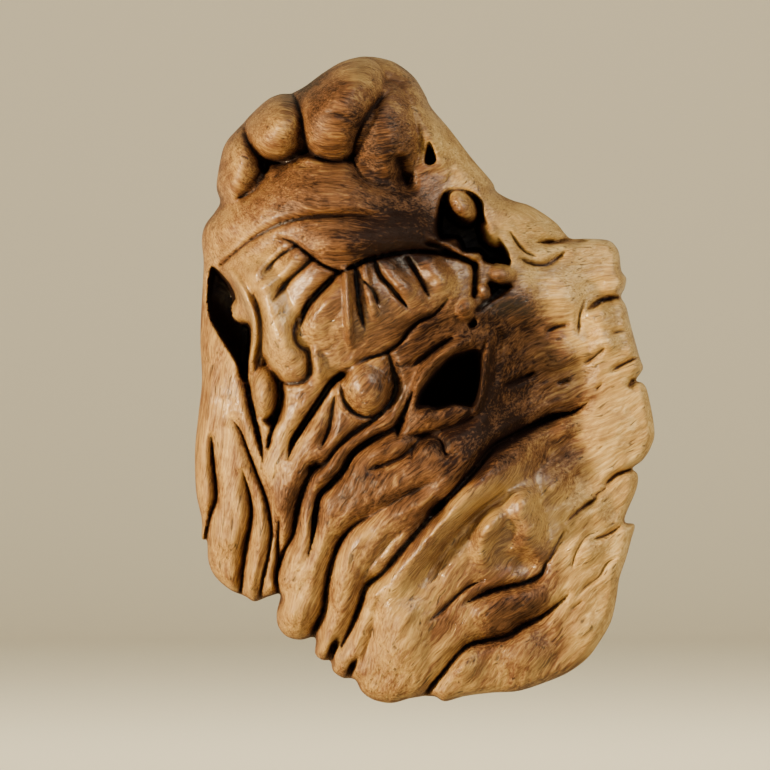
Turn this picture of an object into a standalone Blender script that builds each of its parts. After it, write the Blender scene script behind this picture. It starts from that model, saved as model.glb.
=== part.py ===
"""Carved wall sculpture: one block of wood, cut in high relief over a flat back."""
import bpy
import numpy as np
from mathutils import Vector
from mathutils.geometry import delaunay_2d_cdt

for old in list(bpy.data.objects):
    bpy.data.objects.remove(old, do_unlink=True)

# Overall sizes in metres. The wall is the plane y = 0 and the carving faces -Y.
HEIGHT = 0.388             # top bulb to the lowest fold end
DEPTH = 0.109              # wall to the highest point of the carving

# The carving is laid out in shares of the piece: 388 units over its height, 109 over its depth.
U = HEIGHT / 388.0
V = DEPTH / 109.0

EDGE_SHARE = 0.45          # height of the rim line, as a share of the carving inside it
EDGE_TOP = 60.0            # carving height beyond which the rim line rises no more
BACK_ROUND = 14.0          # width of the rounding between the flat back and the rim
DEEPEST = 12.0             # lowest that a cut or pocket goes
LEAST = 6.0                # least wood left behind the carving, but for the rim
LIP_NARROW = 6.0           # rounding of the front edge where the carving is low
LIP_GROWTH = 0.25          # extra rounding for each unit of carving above LIP_FROM
LIP_FROM = 30.0

GRID = 2.2                 # spacing of the front's points before thinning
NARROW = 1.8               # least half width of a cut's core that these points can carry
SLIM = 4.6                 # the same for a ridge
BACK_GRID = 11.0           # spacing of the back's points
KEEP = 0.243               # share of the triangles that thinning keeps

# Outline in units, clockwise from the top bulb (x to the right, z up).
HEAD_EDGE = [(-35, 194), (-22, 192), (-14, 188), (-6, 181), (0, 171), (4, 163), (15, 150), (28, 133),
             (40, 119), (43, 113), (52, 108), (62, 105), (71, 100), (79, 94), (84, 88), (88, 85)]
CAPE_EDGE = [(98, 85), (110, 84), (115, 80), (117, 75), (118, 66), (121, 61), (120, 55), (118, 50), (121, 44),
             (124, 32), (129, 14), (131, 7), (127, 0), (131, -2), (134, -8), (138, -30), (136, -40), (131, -48),
             (125, -53), (128, -57), (127, -66), (120, -84), (126, -87), (124, -96), (121, -107), (117, -119),
             (115, -132), (112, -145), (106, -156), (98, -167), (86, -176), (72, -182), (56, -187), (40, -188),
             (24, -190), (12, -193), (5, -190)]
FOLD_EDGE = [(-8, -191), (-20, -194), (-31, -192), (-38, -187), (-42, -180), (-49, -179), (-55, -175), (-57, -169),
             (-62, -168), (-66, -164), (-66, -155), (-75, -156), (-83, -154), (-88, -148), (-89, -140), (-87, -129),
             (-94, -130), (-102, -133), (-108, -130), (-117, -126), (-126, -118), (-130, -109), (-131, -97),
             (-134, -95), (-134, -84), (-137, -70), (-138, -58), (-138, -40), (-136, -20)]
LEFT_EDGE = [(-134, 0), (-135, 25), (-134, 50), (-133, 70), (-134, 84), (-132, 93), (-126, 101), (-123, 107),
             (-125, 116), (-123, 130), (-120, 141), (-113, 150), (-97, 166), (-88, 171), (-80, 172), (-72, 176),
             (-61, 184), (-49, 191)]

# Broad lie of the carving: x, z and height above the wall.
HEAD_LIE = [(-90, 150, 52), (-50, 165, 60), (-20, 175, 54), (5, 148, 58), (-112, 125, 44), (-112, 98, 62),
            (-78, 112, 88), (-45, 112, 88), (-20, 112, 78), (0, 114, 64), (-102, 80, 74), (-80, 88, 90),
            (-60, 86, 98), (-40, 85, 96), (-5, 88, 82), (14, 88, 72), (-60, 45, 92), (-30, 48, 92),
            (0, 50, 80), (22, 58, 72), (-92, 45, 80), (-78, 10, 76)]
MIDDLE_LIE = [(-40, 8, 80), (-40, -12, 70), (-12, 8, 74), (10, 22, 74), (-129, 60, 30), (-124, 10, 38),
              (-122, -30, 42), (25, 128, 58), (60, 92, 50), (40, 104, 56), (50, 60, 62), (60, 25, 36),
              (62, -10, 28), (36, 5, 62), (10, -28, 66), (45, 42, 58)]
LOWER_LIE = [(95, 60, 34), (84, 22, 38), (105, 15, 32), (118, -30, 24), (62, -55, 42), (80, -95, 34), (40, -88, 46),
             (0, -112, 50), (52, -138, 34), (95, -135, 24), (-20, -150, 46), (-20, -178, 38), (40, -172, 28),
             (80, -160, 22), (30, -40, 70), (0, -55, 76), (-35, -68, 70), (-75, -45, 66), (-100, -60, 54),
             (-120, -90, 40), (-92, -90, 50), (-78, -125, 50), (-58, -140, 44), (-50, -165, 36), (-102, -122, 38)]
SPREAD = 40.0              # reach of one point of the broad lie
SLACK = 0.03               # how far the broad lie may pass beside its points
MELT = 2.0                 # half width of the soft seam where a rounded body meets the carving
LIP = 1.0                  # how far a pocket's wall reaches outside its ring
CORE = 1.2                 # shape of a cut's core: 1 is a round gouge, more is sharper
REACH = 60.0               # how far from the outline or a pocket's ring it is felt
CLEAR = 0.7                # clear strip around the rows of points, as a share of the front's spacing
BACK_CLEAR = 0.4           # the same on the back
ROW_GAP = 0.6              # least gap between two rows, as a share of the spacing
ROW_STEP = 0.9             # step from one row of the grid to the next, as a share of the spacing

# Rounded bodies: centre x, z, half widths, tilt in degrees, foot height, rise.
BULBS = [(-110, 128, 20, 29, -16, 22, 52), (-87, 150, 22, 24, -6, 38, 54),
         (-52, 160, 31, 39, -22, 38, 66), (-22, 145, 22, 35, 6, 48, 41), (-2, 152, 18, 34, 22, 30, 38)]
BEADS = [(-108.5, 42, 7.5, 8.5, 0, 40, 20), (-96, -7, 9.5, 18, -4, 42, 26), (-35.5, -3, 16, 18.5, 8, 58, 27),
         (0, -22, 12, 7, -10, 54, 18), (3, -43, 7.5, 9, 0, 56, 18), (21, 104, 9.5, 14, 36, 36, 32),
         (40, 88, 8, 11, 28, 30, 32), (44, 63, 11.5, 7, -8, 46, 26), (34.5, 53, 5, 8, 20, 52, 22),
         (23, 43, 8, 9, -20, 60, 20)]

# Swells: half width, rise, share of the rise at the first and last point, centre line.
SWELLS = [
    (16, 8, 0.2, 0.3, [(-10, 182), (0, 160), (4, 140), (4, 122)]),
    (20, 6, 0.5, 0.2, [(-126, 84), (-108, 96), (-84, 106), (-55, 109), (-30, 108), (-10, 102)]),
    (15, 8, 0.1, 0.3, [(-78, 86), (-50, 82), (-20, 86), (8, 88)]),
    (26, 8, 0.6, 0.3, [(-62, 40), (-30, 42), (0, 50), (20, 58)]),
    (3.4, 9, 0.8, 0.2, [(-47.5, 65), (-46, 45), (-44.5, 20)]),
    (4, 5, 0.7, 0.2, [(-36, 68), (-34.5, 56), (-32, 46), (-29, 36)]),
    (8, 6, 0.5, 0.3, [(-26, 69), (-19, 62), (-12, 55), (-6, 50)]),
    (9, 7, 0.5, 0.3, [(0, 70), (8, 62), (13, 54)]),
    (10, 4, 0.6, 0.3, [(-55, 50), (-62, 42), (-66, 32), (-62, 24)]),
    (6, 5, 0.5, 0.5, [(-88, 76), (-96, 68), (-102, 62)]),
    (6, 5, 0.5, 0.5, [(-76, 72), (-86, 62), (-95, 55)]),
    (3.2, 9, 0.3, 0.6, [(2, 86), (12, 81), (20, 76.5), (30, 73.5)]),
    (17, 19, 0.4, 0.6, [(-110, 70), (-99, 52), (-92, 34), (-85, 18), (-80, 8)]),
    (5, 7, 0.4, 0.5, [(-66, 16), (-64, 8), (-62, 0)]),
    (2, 4, 0.4, 0.4, [(-52, 3), (-51.5, -8), (-48, -17), (-41, -22.5), (-33, -24), (-25, -20), (-21, -12)]),
    (3.6, 9, 0.4, 0.4, [(-119, 68), (-111, 58), (-106, 48), (-102, 38), (-101, 28), (-102.5, 16), (-104, 6)]),
    (5, 8, 0.4, 0.2, [(26, 24), (12, 17), (2, 8), (-6, -6), (-12, -22)]),
    (3.4, 12, 0.4, 0.3, [(38, 24), (35.5, 8), (33.5, -8), (30, -20)]),
    (15, 12, 0.3, 0.2, [(74, -34), (45, -54), (22, -74), (2, -94), (-14, -112), (-26, -128)]),
    (13, 9, 0.2, 0.2, [(70, -66), (52, -76), (40, -86), (30, -98)]),
    (13, 11, 0.2, 0.5, [(58, -64), (59, -77), (62, -89), (65, -100)]),
    (9, 8, 0.2, 0.3, [(45, -76), (38, -86), (34, -98), (35, -112)]),
    (12, 6, 0.3, 0.3, [(74, -130), (50, -134), (28, -142)]),
    (20, 6, 0.2, 0.4, [(-16, -130), (-14, -150), (-14, -176)])]

# Pockets: floor height, width of the wall, ring.
POCKETS = [
    (48, 5, [(-99, 132), (-93, 130), (-92, 125), (-96, 122), (-99, 126)]),
    (22, 3, [(2, 141), (6, 133), (5, 129), (0, 129)]),
    (10, 3, [(-127.5, 68), (-119, 61), (-114, 53), (-112, 44), (-109, 36), (-104, 33), (-103.5, 24), (-105, 12),
             (-106, 3), (-109, 0), (-113, 11), (-121, 24), (-128, 36), (-130.5, 47), (-130, 58)]),
    (34, 8, [(-97, 17), (-90, 8), (-84, 0), (-82, -10), (-84, -23), (-91, -29), (-99, -24), (-102, -10),
             (-100, 4)]),
    (12, 4, [(14, 13), (23, 16.5), (31, 17.5), (33.5, 8), (32.5, -6), (29, -15), (18, -15), (6, -18), (-5, -17.5),
             (-4, -9), (3, 1)]),
    (46, 7, [(43, 32), (48, 26), (47, 12), (43, -4), (40, -4), (40, 12), (41, 24)]),
    (14, 4, [(24, 113), (33, 107), (35, 98), (38, 91), (44, 84), (49, 76), (50, 68.5), (36, 69.5), (32, 75), (22, 76),
             (18, 83), (9, 82.5), (6, 88), (7, 98), (11, 111)]),
    (38, 4, [(38, 59), (49, 56), (43, 50.5), (37, 47)]),
    (50, 4, [(29, 37), (31, 33), (27, 30), (25, 33)]),
    (37, 9, [(46, -103), (57, -100), (68, -105), (73, -112), (67, -119), (57, -122), (47, -121), (42, -112)])]

# Cuts: half width and depth of the core, half width and sink of the shoulders,
# share of the cut at the first and last point, centre line.
HEAD_CUTS = [
    (1.5, 5, 5, 5, 0.2, 0.8, [(-108, 152), (-106.5, 144), (-103, 137), (-98, 131)]),
    (1.4, 6, 6, 6, 0.8, 0.9, [(-80, 172), (-76, 164), (-73.5, 155), (-72.5, 147), (-70.5, 137)]),
    (1.2, 4, 5, 6, 0, 0.8, [(-20, 173), (-28, 165), (-34, 157), (-38.5, 149), (-41.5, 141), (-43.5, 132)]),
    (1.2, 2, 7, 5, 0.9, 0, [(-96, 121), (-101, 114), (-107, 110), (-114, 108)]),
    (1.6, 7, 6, 7, 0.8, 0.9, [(-95, 130), (-84, 129.5), (-76, 133), (-70, 136)]),
    (1.3, 4, 5, 4, 0.8, 0.9, [(-70, 136), (-62, 131.5), (-52, 129.5), (-43, 131)]),
    (1.0, 1, 7, 4, 0.8, 0.4, [(-43, 131), (-39, 121), (-30, 115), (-17, 112)]),
    (4, 0, 9, 13, 0.1, 0.6, [(-17, 134), (-14, 125), (-11, 115)]),
    (1.5, 6, 5, 4, 0.9, 0, [(-122, 69), (-113, 76), (-106, 81.5), (-96, 87.5), (-84, 93), (-70, 96), (-55, 97),
                            (-38, 97), (-22, 95)]),
    (1.1, 5, 3.2, 3, 0.9, 0, [(-77, 79), (-84, 75), (-91, 69), (-97, 62)]),
    (1.3, 8, 4, 4, 0.8, 0, [(-67, 71.5), (-73, 66), (-80, 60), (-86, 53), (-91, 46)]),
    (2.2, 14, 8, 9, 0.5, 0.1, [(-53, 62), (-58, 57), (-65, 50), (-71, 42), (-74, 32)]),
    (1.1, 6, 3.2, 3, 0.9, 0.2, [(-51, 64), (-60, 67.5), (-69, 74), (-78, 81), (-88, 85)]),
    (1.4, 4, 6, 7, 0.3, 0.4, [(-75, 38), (-78, 29), (-76, 21), (-70, 17)]),
    (1.5, 9, 3.5, 4, 0.8, 0.1, [(-41.5, 66), (-40.5, 54), (-39, 42), (-36, 30)]),
    (1.3, 8, 3.2, 4, 0.9, 0, [(-30, 70), (-27, 62), (-21, 55.5), (-15, 48), (-10, 42)]),
    (1.2, 8, 3.2, 4, 0.9, 0.1, [(-10.5, 72), (-6, 64), (-2, 57), (2, 49)]),
    (1.2, 5, 3, 3, 0.9, 0.1, [(-36, 58), (-31, 52), (-28, 44)]),
    (1.8, 12, 4, 5, 0.8, 0.4, [(29, 69), (29.5, 60), (28.5, 48)]),
    (1.7, 22, 4, 4, 0.4, 0.7, [(-52, 63), (-43, 67), (-34, 71), (-24, 73.5), (-10, 76), (4, 76), (18, 74),
                                 (30, 68)]),
    (1.2, 8, 3, 3, 0.2, 0.6, [(0, 81), (9, 79), (18, 74)]),
    (1.2, 10, 4, 4, 0.3, 0.9, [(13, 48), (5, 38.5), (-3, 35), (-10, 29), (-15, 22), (-24, 16), (-36, 12), (-46, 5),
                               (-54, -1)]),
    (1.4, 7, 5, 7, 0.3, 0.3, [(-90, 4), (-86, -1), (-79, -2), (-71, 0), (-68.5, 8), (-70, 18)]),
    (1.2, 4, 6.5, 8, 0.1, 0.3, [(-104, 56), (-100, 46), (-98, 36), (-97.5, 24), (-99, 12), (-102, 4)])]
CAPE_CUTS = [
    (2.3, 17, 8, 9, 0, 0.9, [(100, -11), (90, -19), (78, -22), (66, -27), (52, -34), (40, -41), (30, -53),
                               (18, -66), (6, -78)]),
    (1.7, 11, 9, 14, 0.8, 0.4, [(8, -76), (-4, -90), (-16, -104), (-26, -116), (-35, -123), (-39, -134),
                                 (-44, -147), (-50, -159)]),
    (2, 0, 12, 9, 0.2, 0.1, [(50, -68), (36, -77), (24, -87), (14, -98), (6, -110), (-3, -124)]),
    (1.6, 10, 6, 6, 0.4, 0.1, [(73, -108), (69, -117), (60, -121.5), (49, -124), (38, -127), (23, -134)]),
    (1.6, 10, 8, 9, 0, 1.2, [(89, -126), (80, -134), (70, -142), (58, -148), (50, -153.5), (38, -156),
                              (27, -158.5), (19, -165), (11, -175), (2, -186), (-4, -197)]),
    (1.2, 6, 4, 3, 0.2, 0.1, [(35, -120), (26, -123.5), (18, -130), (10, -138), (2, -144)]),
    (1, 0, 8, 5, 0.2, 0.2, [(-28, -128), (-30, -142), (-34, -158), (-38, -172)])]
FOLD_CUTS = [
    (2.6, 18, 8, 9, 0.8, 0, [(-50, 3), (-56, -2), (-62, -11), (-68, -20), (-74, -29), (-79, -37), (-82, -48)]),
    (2, 12, 7, 9, 1, 0, [(-108, 5), (-106, -4), (-104, -14), (-101.5, -25), (-99, -36), (-96.5, -50)]),
    (1.5, 10, 5, 6, 0.9, 0, [(-89, -24), (-92, -32), (-94, -42)]),
    (1, 3, 2.5, 2.5, 0.3, 0.6, [(-51, -2), (-49, -12), (-43, -19.5), (-34, -22.5), (-26, -20)]),
    (1.5, 9, 6, 7, 0.5, 0.8, [(-22, 16), (-19, 5), (-17.5, -4), (-20, -12), (-26, -20), (-35, -26.5), (-45, -33.5),
                             (-54, -42), (-60, -50), (-68, -53)]),
    (1.4, 10, 5, 5, 0.3, 0.2, [(16, 25), (8, 20), (0, 14), (-8, 8)]),
    (1.6, 9, 6, 7, 0.2, 0, [(-7, -6), (-12, -18), (-15.5, -27), (-16.5, -35)]),
    (1.4, 3, 7, 7, 0.2, 0.2, [(-14, -33), (-2, -33), (10, -30), (24, -25), (34, -18)]),
    (1.2, 2, 6, 5, 0.2, 0, [(-8, -50), (-7, -40), (1, -33), (9, -36), (12, -44), (20, -44)]),
    (2.0, 3, 8, 6, 0.6, 0, [(-8, -40), (-14, -46), (-23, -50), (-36, -54)]),
    (1.4, 10, 4, 5, 0.8, 0.2, [(50, 56), (42, 50), (35, 45), (29, 40)]),
    (1.6, 9, 6, 9, 0, 0.9, [(-128, -30), (-127, -48), (-125.5, -62), (-125.5, -72), (-129, -82), (-132, -98)]),
    (1.4, 8, 8, 12, 0, 1, [(-110, -52), (-106, -65), (-104, -76), (-104.5, -86), (-107, -98), (-109, -112),
                          (-111, -132)]),
    (1.3, 7, 7, 9, 0.3, 1, [(-115, -24), (-110, -31), (-106, -42), (-101, -55), (-96, -68), (-93, -80),
                              (-92, -92), (-94, -106), (-97, -118), (-100, -136)]),
    (1.4, 8, 5, 8, 0.2, 1, [(-87, -82), (-88, -95), (-88, -108), (-89, -118), (-87, -132)]),
    (1.6, 9, 9, 13, 0.5, 0.3, [(-65, -50), (-70, -59), (-74, -69), (-77, -81), (-79, -92), (-84, -102),
                                (-88, -113), (-90, -122)]),
    (1.4, 5, 6, 6, 0.5, 0, [(-54, -10), (-56, -22), (-58, -31), (-63, -42)]),
    (2.0, 13, 8, 11, 0.3, 0.1, [(-13, -24), (-20, -30), (-32, -36), (-43, -44), (-49, -54), (-57, -63),
                                 (-63, -69), (-65.5, -80), (-67, -92), (-70, -106)]),
    (1.6, 1, 9, 7, 0.2, 0.6, [(6, -60), (-12, -69), (-26, -77), (-38, -84)]),
    (1.7, 9, 10, 14, 0.3, 1, [(-34, -81), (-44, -88), (-51, -97), (-56, -109), (-59, -123), (-61, -138),
                               (-66, -149), (-71, -161)]),
    (1.2, 1, 7, 5, 0.2, 0.3, [(-10, -86), (-24, -100), (-35, -114), (-42, -128)]),
    (3, 12, 5, 6, 0.3, 1, [(-53, -155), (-56, -163), (-58, -173)]),
    (2.6, 10, 5, 6, 0.3, 1, [(-41, -167), (-45, -175), (-47, -184)])]

# Fissures in the skin: half width, depth, line.
FISSURES = [
    (1.6, 7, [(56, 74), (61, 70), (71, 68.5), (78, 72), (84, 77)]),
    (1.8, 9, [(65, 82), (76, 82.5), (88, 83.5), (99, 83)]), (1.2, 5, [(72, 28), (78, 31.5), (88, 33.5)]),
    (2, 10, [(96, 41), (104, 46.5), (111, 49), (120, 50)]), (1.3, 6, [(111, 5), (119, 9.5), (129, 14)]),
    (1.4, 6, [(46, -3.5), (55, -0.5), (66, 5)]), (1.5, 8, [(107, -64), (115, -57), (126, -53)]),
    (1.5, 8, [(84, -86), (92, -78.5), (104, -70)]), (1.2, 5, [(118, -87), (110, -92.5), (99, -96)])]
FISSURE_LIP = 3.2          # shoulder of a fissure, as a share of its own half width
FISSURE_SHARE = 0.6        # share of its depth in the core, and again in the shoulders

# Low mounds and dips in the skin: centre x, z, radius, rise.
MOUNDS = [(54, -92, 20, 6), (47, -92, 8, -4),
          (60, -110, 12, -6), (104, 38, 14, 6), (114, 62, 12, 3),
          (106, 22, 10, 5), (80, 14, 14, 4), (112, 22, 8, 3), (84, -26, 12, 6), (108, -30, 22, 4), (90, -82, 12, 5),
          (104, -78, 14, 4), (78, -62, 14, 5), (96, -100, 16, 4), (60, -166, 22, 6), (24, -172, 14, 5),
          (96, -150, 14, 3), (60, 45, 16, 4), (84, 50, 18, 5), (-120, 92, 12, 4), (-126, 20, 10, 3),
          (-120, -96, 14, 4), (-102, -118, 10, 3), (-78, -140, 14, 5), (-60, -158, 8, 3), (98, 30, 9, -4),
          (100, 52, 12, -3), (112, 44, 8, -3), (92, 4, 14, -4), (72, -44, 14, -4), (96, -60, 14, -3),
          (112, -78, 10, -3), (70, -150, 10, -2)]


def curve(points, closed=False, step=3.0):
    """Points along a smooth curve through the given ones, about step apart."""
    p = np.asarray(points, float)
    n = len(p)
    out = []
    for i in range(n if closed else n - 1):
        a, b, c, d = (p[(i + k) % n] if closed else p[min(max(i + k, 0), n - 1)] for k in (-1, 0, 1, 2))
        m = max(1, int(np.ceil(np.hypot(*(c - b)) / step)))
        t = (np.arange(m) / m)[:, None]
        out.append(0.5 * (2 * b + (c - a) * t + (2 * a - 5 * b + 4 * c - d) * t ** 2
                          + (3 * b - a - 3 * c + d) * t ** 3))
    if not closed:
        out.append(p[-1:])
    return np.concatenate(out)


def shifted(line, away, closed=False):
    """The line moved sideways, to its left for a positive distance."""
    ahead = np.roll(line, -1, axis=0) - np.roll(line, 1, axis=0)
    if not closed:
        ahead[0] = line[1] - line[0]
        ahead[-1] = line[-1] - line[-2]
    ahead /= np.maximum(np.hypot(ahead[:, 0], ahead[:, 1]), 1e-9)[:, None]
    return line + away * np.column_stack([-ahead[:, 1], ahead[:, 0]])


def beside(x, z, line, reach):
    """Indices of the points within reach of a line, their distance and their share of its length."""
    low = line.min(0) - reach
    high = line.max(0) + reach
    near = np.flatnonzero((x > low[0]) & (x < high[0]) & (z > low[1]) & (z < high[1]))
    best = np.full(len(near), 1e9)
    share = np.zeros(len(near))
    steps = np.diff(line, axis=0)
    lengths = np.hypot(steps[:, 0], steps[:, 1])
    run = np.concatenate([[0], np.cumsum(lengths)])
    for k in range(len(steps)):
        dx = x[near] - line[k, 0]
        dz = z[near] - line[k, 1]
        t = np.clip((dx * steps[k, 0] + dz * steps[k, 1]) / max(lengths[k] ** 2, 1e-9), 0, 1)
        away = np.hypot(dx - t * steps[k, 0], dz - t * steps[k, 1])
        closer = away < best
        best[closer] = away[closer]
        share[closer] = (run[k] + t[closer] * lengths[k]) / run[-1]
    keep = best < reach
    return near[keep], best[keep], share[keep]


def inside(x, z, ring):
    """Which points lie in a closed ring."""
    hit = np.zeros(x.shape, bool)
    for (ax, az), (bx, bz) in zip(ring, np.roll(ring, -1, axis=0)):
        if az != bz:
            hit ^= ((az > z) != (bz > z)) & (x < (bx - ax) * (z - az) / (bz - az) + ax)
    return hit


def taper(share, first, last, fade=0.3):
    """Full strength in the middle of a line, falling to the given shares over fade at each end."""
    start = np.sin(np.clip(share / fade, 0, 1) * np.pi / 2)
    end = np.sin(np.clip((1 - share) / fade, 0, 1) * np.pi / 2)
    return (first + (1 - first) * start) * (last + (1 - last) * end)


def broad(x, z):
    """Smooth surface through the broad lie of the carving."""
    p = np.array(HEAD_LIE + MIDDLE_LIE + LOWER_LIE, float)
    middle = p[:, 2].mean()

    def reach(ax, az, bx, bz):
        return np.sqrt(1 + ((ax - bx) ** 2 + (az - bz) ** 2) / SPREAD ** 2)

    own = reach(p[:, None, 0], p[:, None, 1], p[None, :, 0], p[None, :, 1])
    weights = np.linalg.solve(own - np.eye(len(p)) * SLACK, p[:, 2] - middle)
    return middle + reach(x[:, None], z[:, None], p[None, :, 0], p[None, :, 1]) @ weights


def body(x, z, h, cx, cz, rx, rz, tilt, foot, rise):
    """Ellipsoid blended onto the carving."""
    c = np.cos(np.radians(tilt))
    s = np.sin(np.radians(tilt))
    q = (((x - cx) * c + (z - cz) * s) / rx) ** 2 + (((z - cz) * c - (x - cx) * s) / rz) ** 2
    m = q < 1
    top = foot + rise * np.sqrt(1 - q[m])
    mix = np.clip(0.5 + 0.5 * (top - h[m]) / MELT, 0, 1)
    h[m] += (top - h[m]) * mix + MELT * mix * (1 - mix)


def swell(x, z, h, width, rise, first, last, line):
    """Soft ridge along a line."""
    width = max(width, SLIM)
    at, away, share = beside(x, z, curve(line), width)
    h[at] += rise * taper(share, first, last) * (1 - (away / width) ** 2) ** 2


def cut(x, z, h, width, depth, lip, sink, first, last, line):
    """Narrow cut between rounded shoulders."""
    at, away, share = beside(x, z, curve(line), lip)
    t = taper(share, first, last)
    q = 1 - away / lip
    h[at] -= sink * np.minimum(t, 1) * (q ** 2 * (3 - 2 * q) + q ** 3) / 2
    q = np.clip(away / np.maximum(max(width, NARROW) * t, 1e-3), 0, 1)
    h[at] -= depth * np.minimum(t, 1) * (1 - q ** 2) ** CORE


def pocket(x, z, h, floor, wall, ring):
    """Steep-walled hollow that ends at a floor."""
    r = curve(ring, closed=True)
    at, away, _ = beside(x, z, np.vstack([r, r[:1]]), REACH)
    deep = np.where(inside(x[at], z[at], r), away, -away)
    q = np.clip((deep + LIP) / (wall + LIP), 0, 1)
    q = q * q * (3 - 2 * q)
    h[at] += (np.minimum(floor, h[at]) - h[at]) * q


def carving(x, z):
    """Height of the front above the wall."""
    h = broad(x, z)
    for item in BULBS:
        body(x, z, h, *item)
    for item in SWELLS:
        swell(x, z, h, *item)
    for cx, cz, radius, rise in MOUNDS:
        q = np.clip(1 - ((x - cx) ** 2 + (z - cz) ** 2) / radius ** 2, 0, 1)
        h += rise * q ** 2
    for item in HEAD_CUTS + CAPE_CUTS:
        cut(x, z, h, *item)
    for item in POCKETS:
        pocket(x, z, h, *item)
    for item in BEADS:
        body(x, z, h, *item)
    for item in FOLD_CUTS:
        cut(x, z, h, *item)
    for width, depth, line in FISSURES:
        share = FISSURE_SHARE * depth
        cut(x, z, h, width, share, FISSURE_LIP * max(width, NARROW), share, 0.1, 0.1, line)
    return h


def round_over(away, width):
    """Quarter round: 0 on the edge, 1 from width inwards."""
    q = np.clip(away / width, 0, 1)
    return np.sqrt(1 - (1 - q) ** 2)


def surfaces(x, z, ring):
    """Front and back heights above the wall; they meet on the outline."""
    away = np.full(len(x), REACH)
    at, near, _ = beside(x, z, np.vstack([ring, ring[:1]]), REACH)
    away[at] = near
    h = np.maximum(carving(x, z), DEEPEST)
    rim = EDGE_SHARE * np.minimum(h, EDGE_TOP)
    back = rim * (1 - round_over(away, BACK_ROUND))
    width = LIP_NARROW + LIP_GROWTH * np.clip(h - LIP_FROM, 0, 80)
    front = rim + (h - rim) * round_over(away, width)
    front = np.maximum(front, back + np.minimum(LEAST, away))
    return front, back


def rows():
    """Rows of points along the cuts, the pockets and the slim ridges, so that their edges run clean."""
    found = []
    for width, _, _, _, _, _, points in FOLD_CUTS + HEAD_CUTS + CAPE_CUTS:
        line = curve(points, step=GRID)
        found.append(line)
        for side in (-1, 1):
            found.append(shifted(line, side * max(width, NARROW)))
    for width, _, points in FISSURES:
        line = curve(points, step=GRID)
        found += [line, shifted(line, max(width, NARROW)), shifted(line, -max(width, NARROW))]
    for _, wall, points in POCKETS:
        line = curve(points, closed=True, step=GRID)
        found += [shifted(line, away, closed=True) for away in (LIP, -wall / 2, -wall)]
    for width, _, _, _, points in SWELLS:
        if width < SLIM:
            found.append(curve(points, step=GRID))
    return found


def sheet(ring, spacing, clear, lines=(), mesh=0.2):
    """Triangles over the outline: its own points first, then rows along the lines, then a grid clear of them.

    Places that are taken are marked on a map whose mesh is a share of the spacing."""
    fine = mesh * spacing
    low = ring.min(0) - 4 * spacing
    size = np.ceil((ring.max(0) + 4 * spacing - low) / fine).astype(int)
    taken = np.zeros(size, bool)
    at = np.arange(-5, 6)
    disc = np.array([(i, k) for i in at for k in at if i * i + k * k <= (clear / mesh) ** 2 + 0.1])

    def cells(points):
        return np.clip(np.round((points - low) / fine).astype(int), 6, size - 7)

    def take(points):
        spots = (cells(points)[:, None] + disc[None]).reshape(-1, 2)
        taken[spots[:, 0], spots[:, 1]] = True

    points = [ring]
    close = np.zeros(size, bool)
    for line in lines:
        spot = cells(line)
        free = ~close[spot[:, 0], spot[:, 1]] & inside(line[:, 0], line[:, 1], ring)
        edge, _, _ = beside(line[:, 0], line[:, 1], np.vstack([ring, ring[:1]]), ROW_GAP * spacing)
        free[edge] = False
        line = line[free]
        if len(line):
            near = disc[np.hypot(disc[:, 0], disc[:, 1]) * mesh <= ROW_GAP]
            spots = (cells(line)[:, None] + near[None]).reshape(-1, 2)
            close[spots[:, 0], spots[:, 1]] = True
            take(line)
            points.append(line)
    xs = np.arange(ring[:, 0].min(), ring[:, 0].max(), spacing)
    zs = np.arange(ring[:, 1].min(), ring[:, 1].max(), spacing * ROW_STEP)
    gx, gz = (g.ravel() for g in np.meshgrid(xs, zs))
    gx = gx + np.where(np.round((gz - zs[0]) / (ROW_STEP * spacing)) % 2 > 0, spacing / 2, 0)
    take(ring)
    grid = np.column_stack([gx, gz])
    spot = cells(grid)
    keep = ~taken[spot[:, 0], spot[:, 1]] & inside(gx, gz, ring)
    points = np.vstack(points + [grid[keep]])
    loop = [(i, (i + 1) % len(ring)) for i in range(len(ring))]
    result = delaunay_2d_cdt([Vector(p) for p in points], loop, [], 1, 1e-6)
    flat = np.array([tuple(v) for v in result[0]])
    return flat, [tuple(f) for f in result[2]]


def build():
    """The sculpture as one closed body."""
    ring = curve(HEAD_EDGE + CAPE_EDGE + FOLD_EDGE + LEFT_EDGE, closed=True, step=GRID)
    count = len(ring)
    front_flat, front_faces = sheet(ring, GRID, CLEAR, rows())
    edges = [shifted(ring, -share * BACK_ROUND, closed=True) for share in (1, 0.5)]
    back_flat, back_faces = sheet(ring, BACK_GRID, BACK_CLEAR, edges)
    high, rim = surfaces(front_flat[:, 0], front_flat[:, 1], ring)
    high[:count] = rim[:count]
    _, low = surfaces(back_flat[:, 0], back_flat[:, 1], ring)
    verts = [(x * U, -h * V, z * U) for (x, z), h in zip(front_flat, high)]
    verts += [(x * U, -h * V, z * U) for (x, z), h in zip(back_flat[count:], low[count:])]
    shift = len(front_flat) - count
    faces = list(front_faces)
    faces += [tuple(i if i < count else i + shift for i in f[::-1]) for f in back_faces]
    mesh = bpy.data.meshes.new("sculpture")
    mesh.from_pydata(verts, [], faces)
    mesh.validate()
    mesh.update()
    obj = bpy.data.objects.new("sculpture", mesh)
    bpy.context.scene.collection.objects.link(obj)
    for face in mesh.polygons:
        face.use_smooth = True
    thin = obj.modifiers.new("thinning", "DECIMATE")
    thin.ratio = KEEP
    return obj


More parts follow.
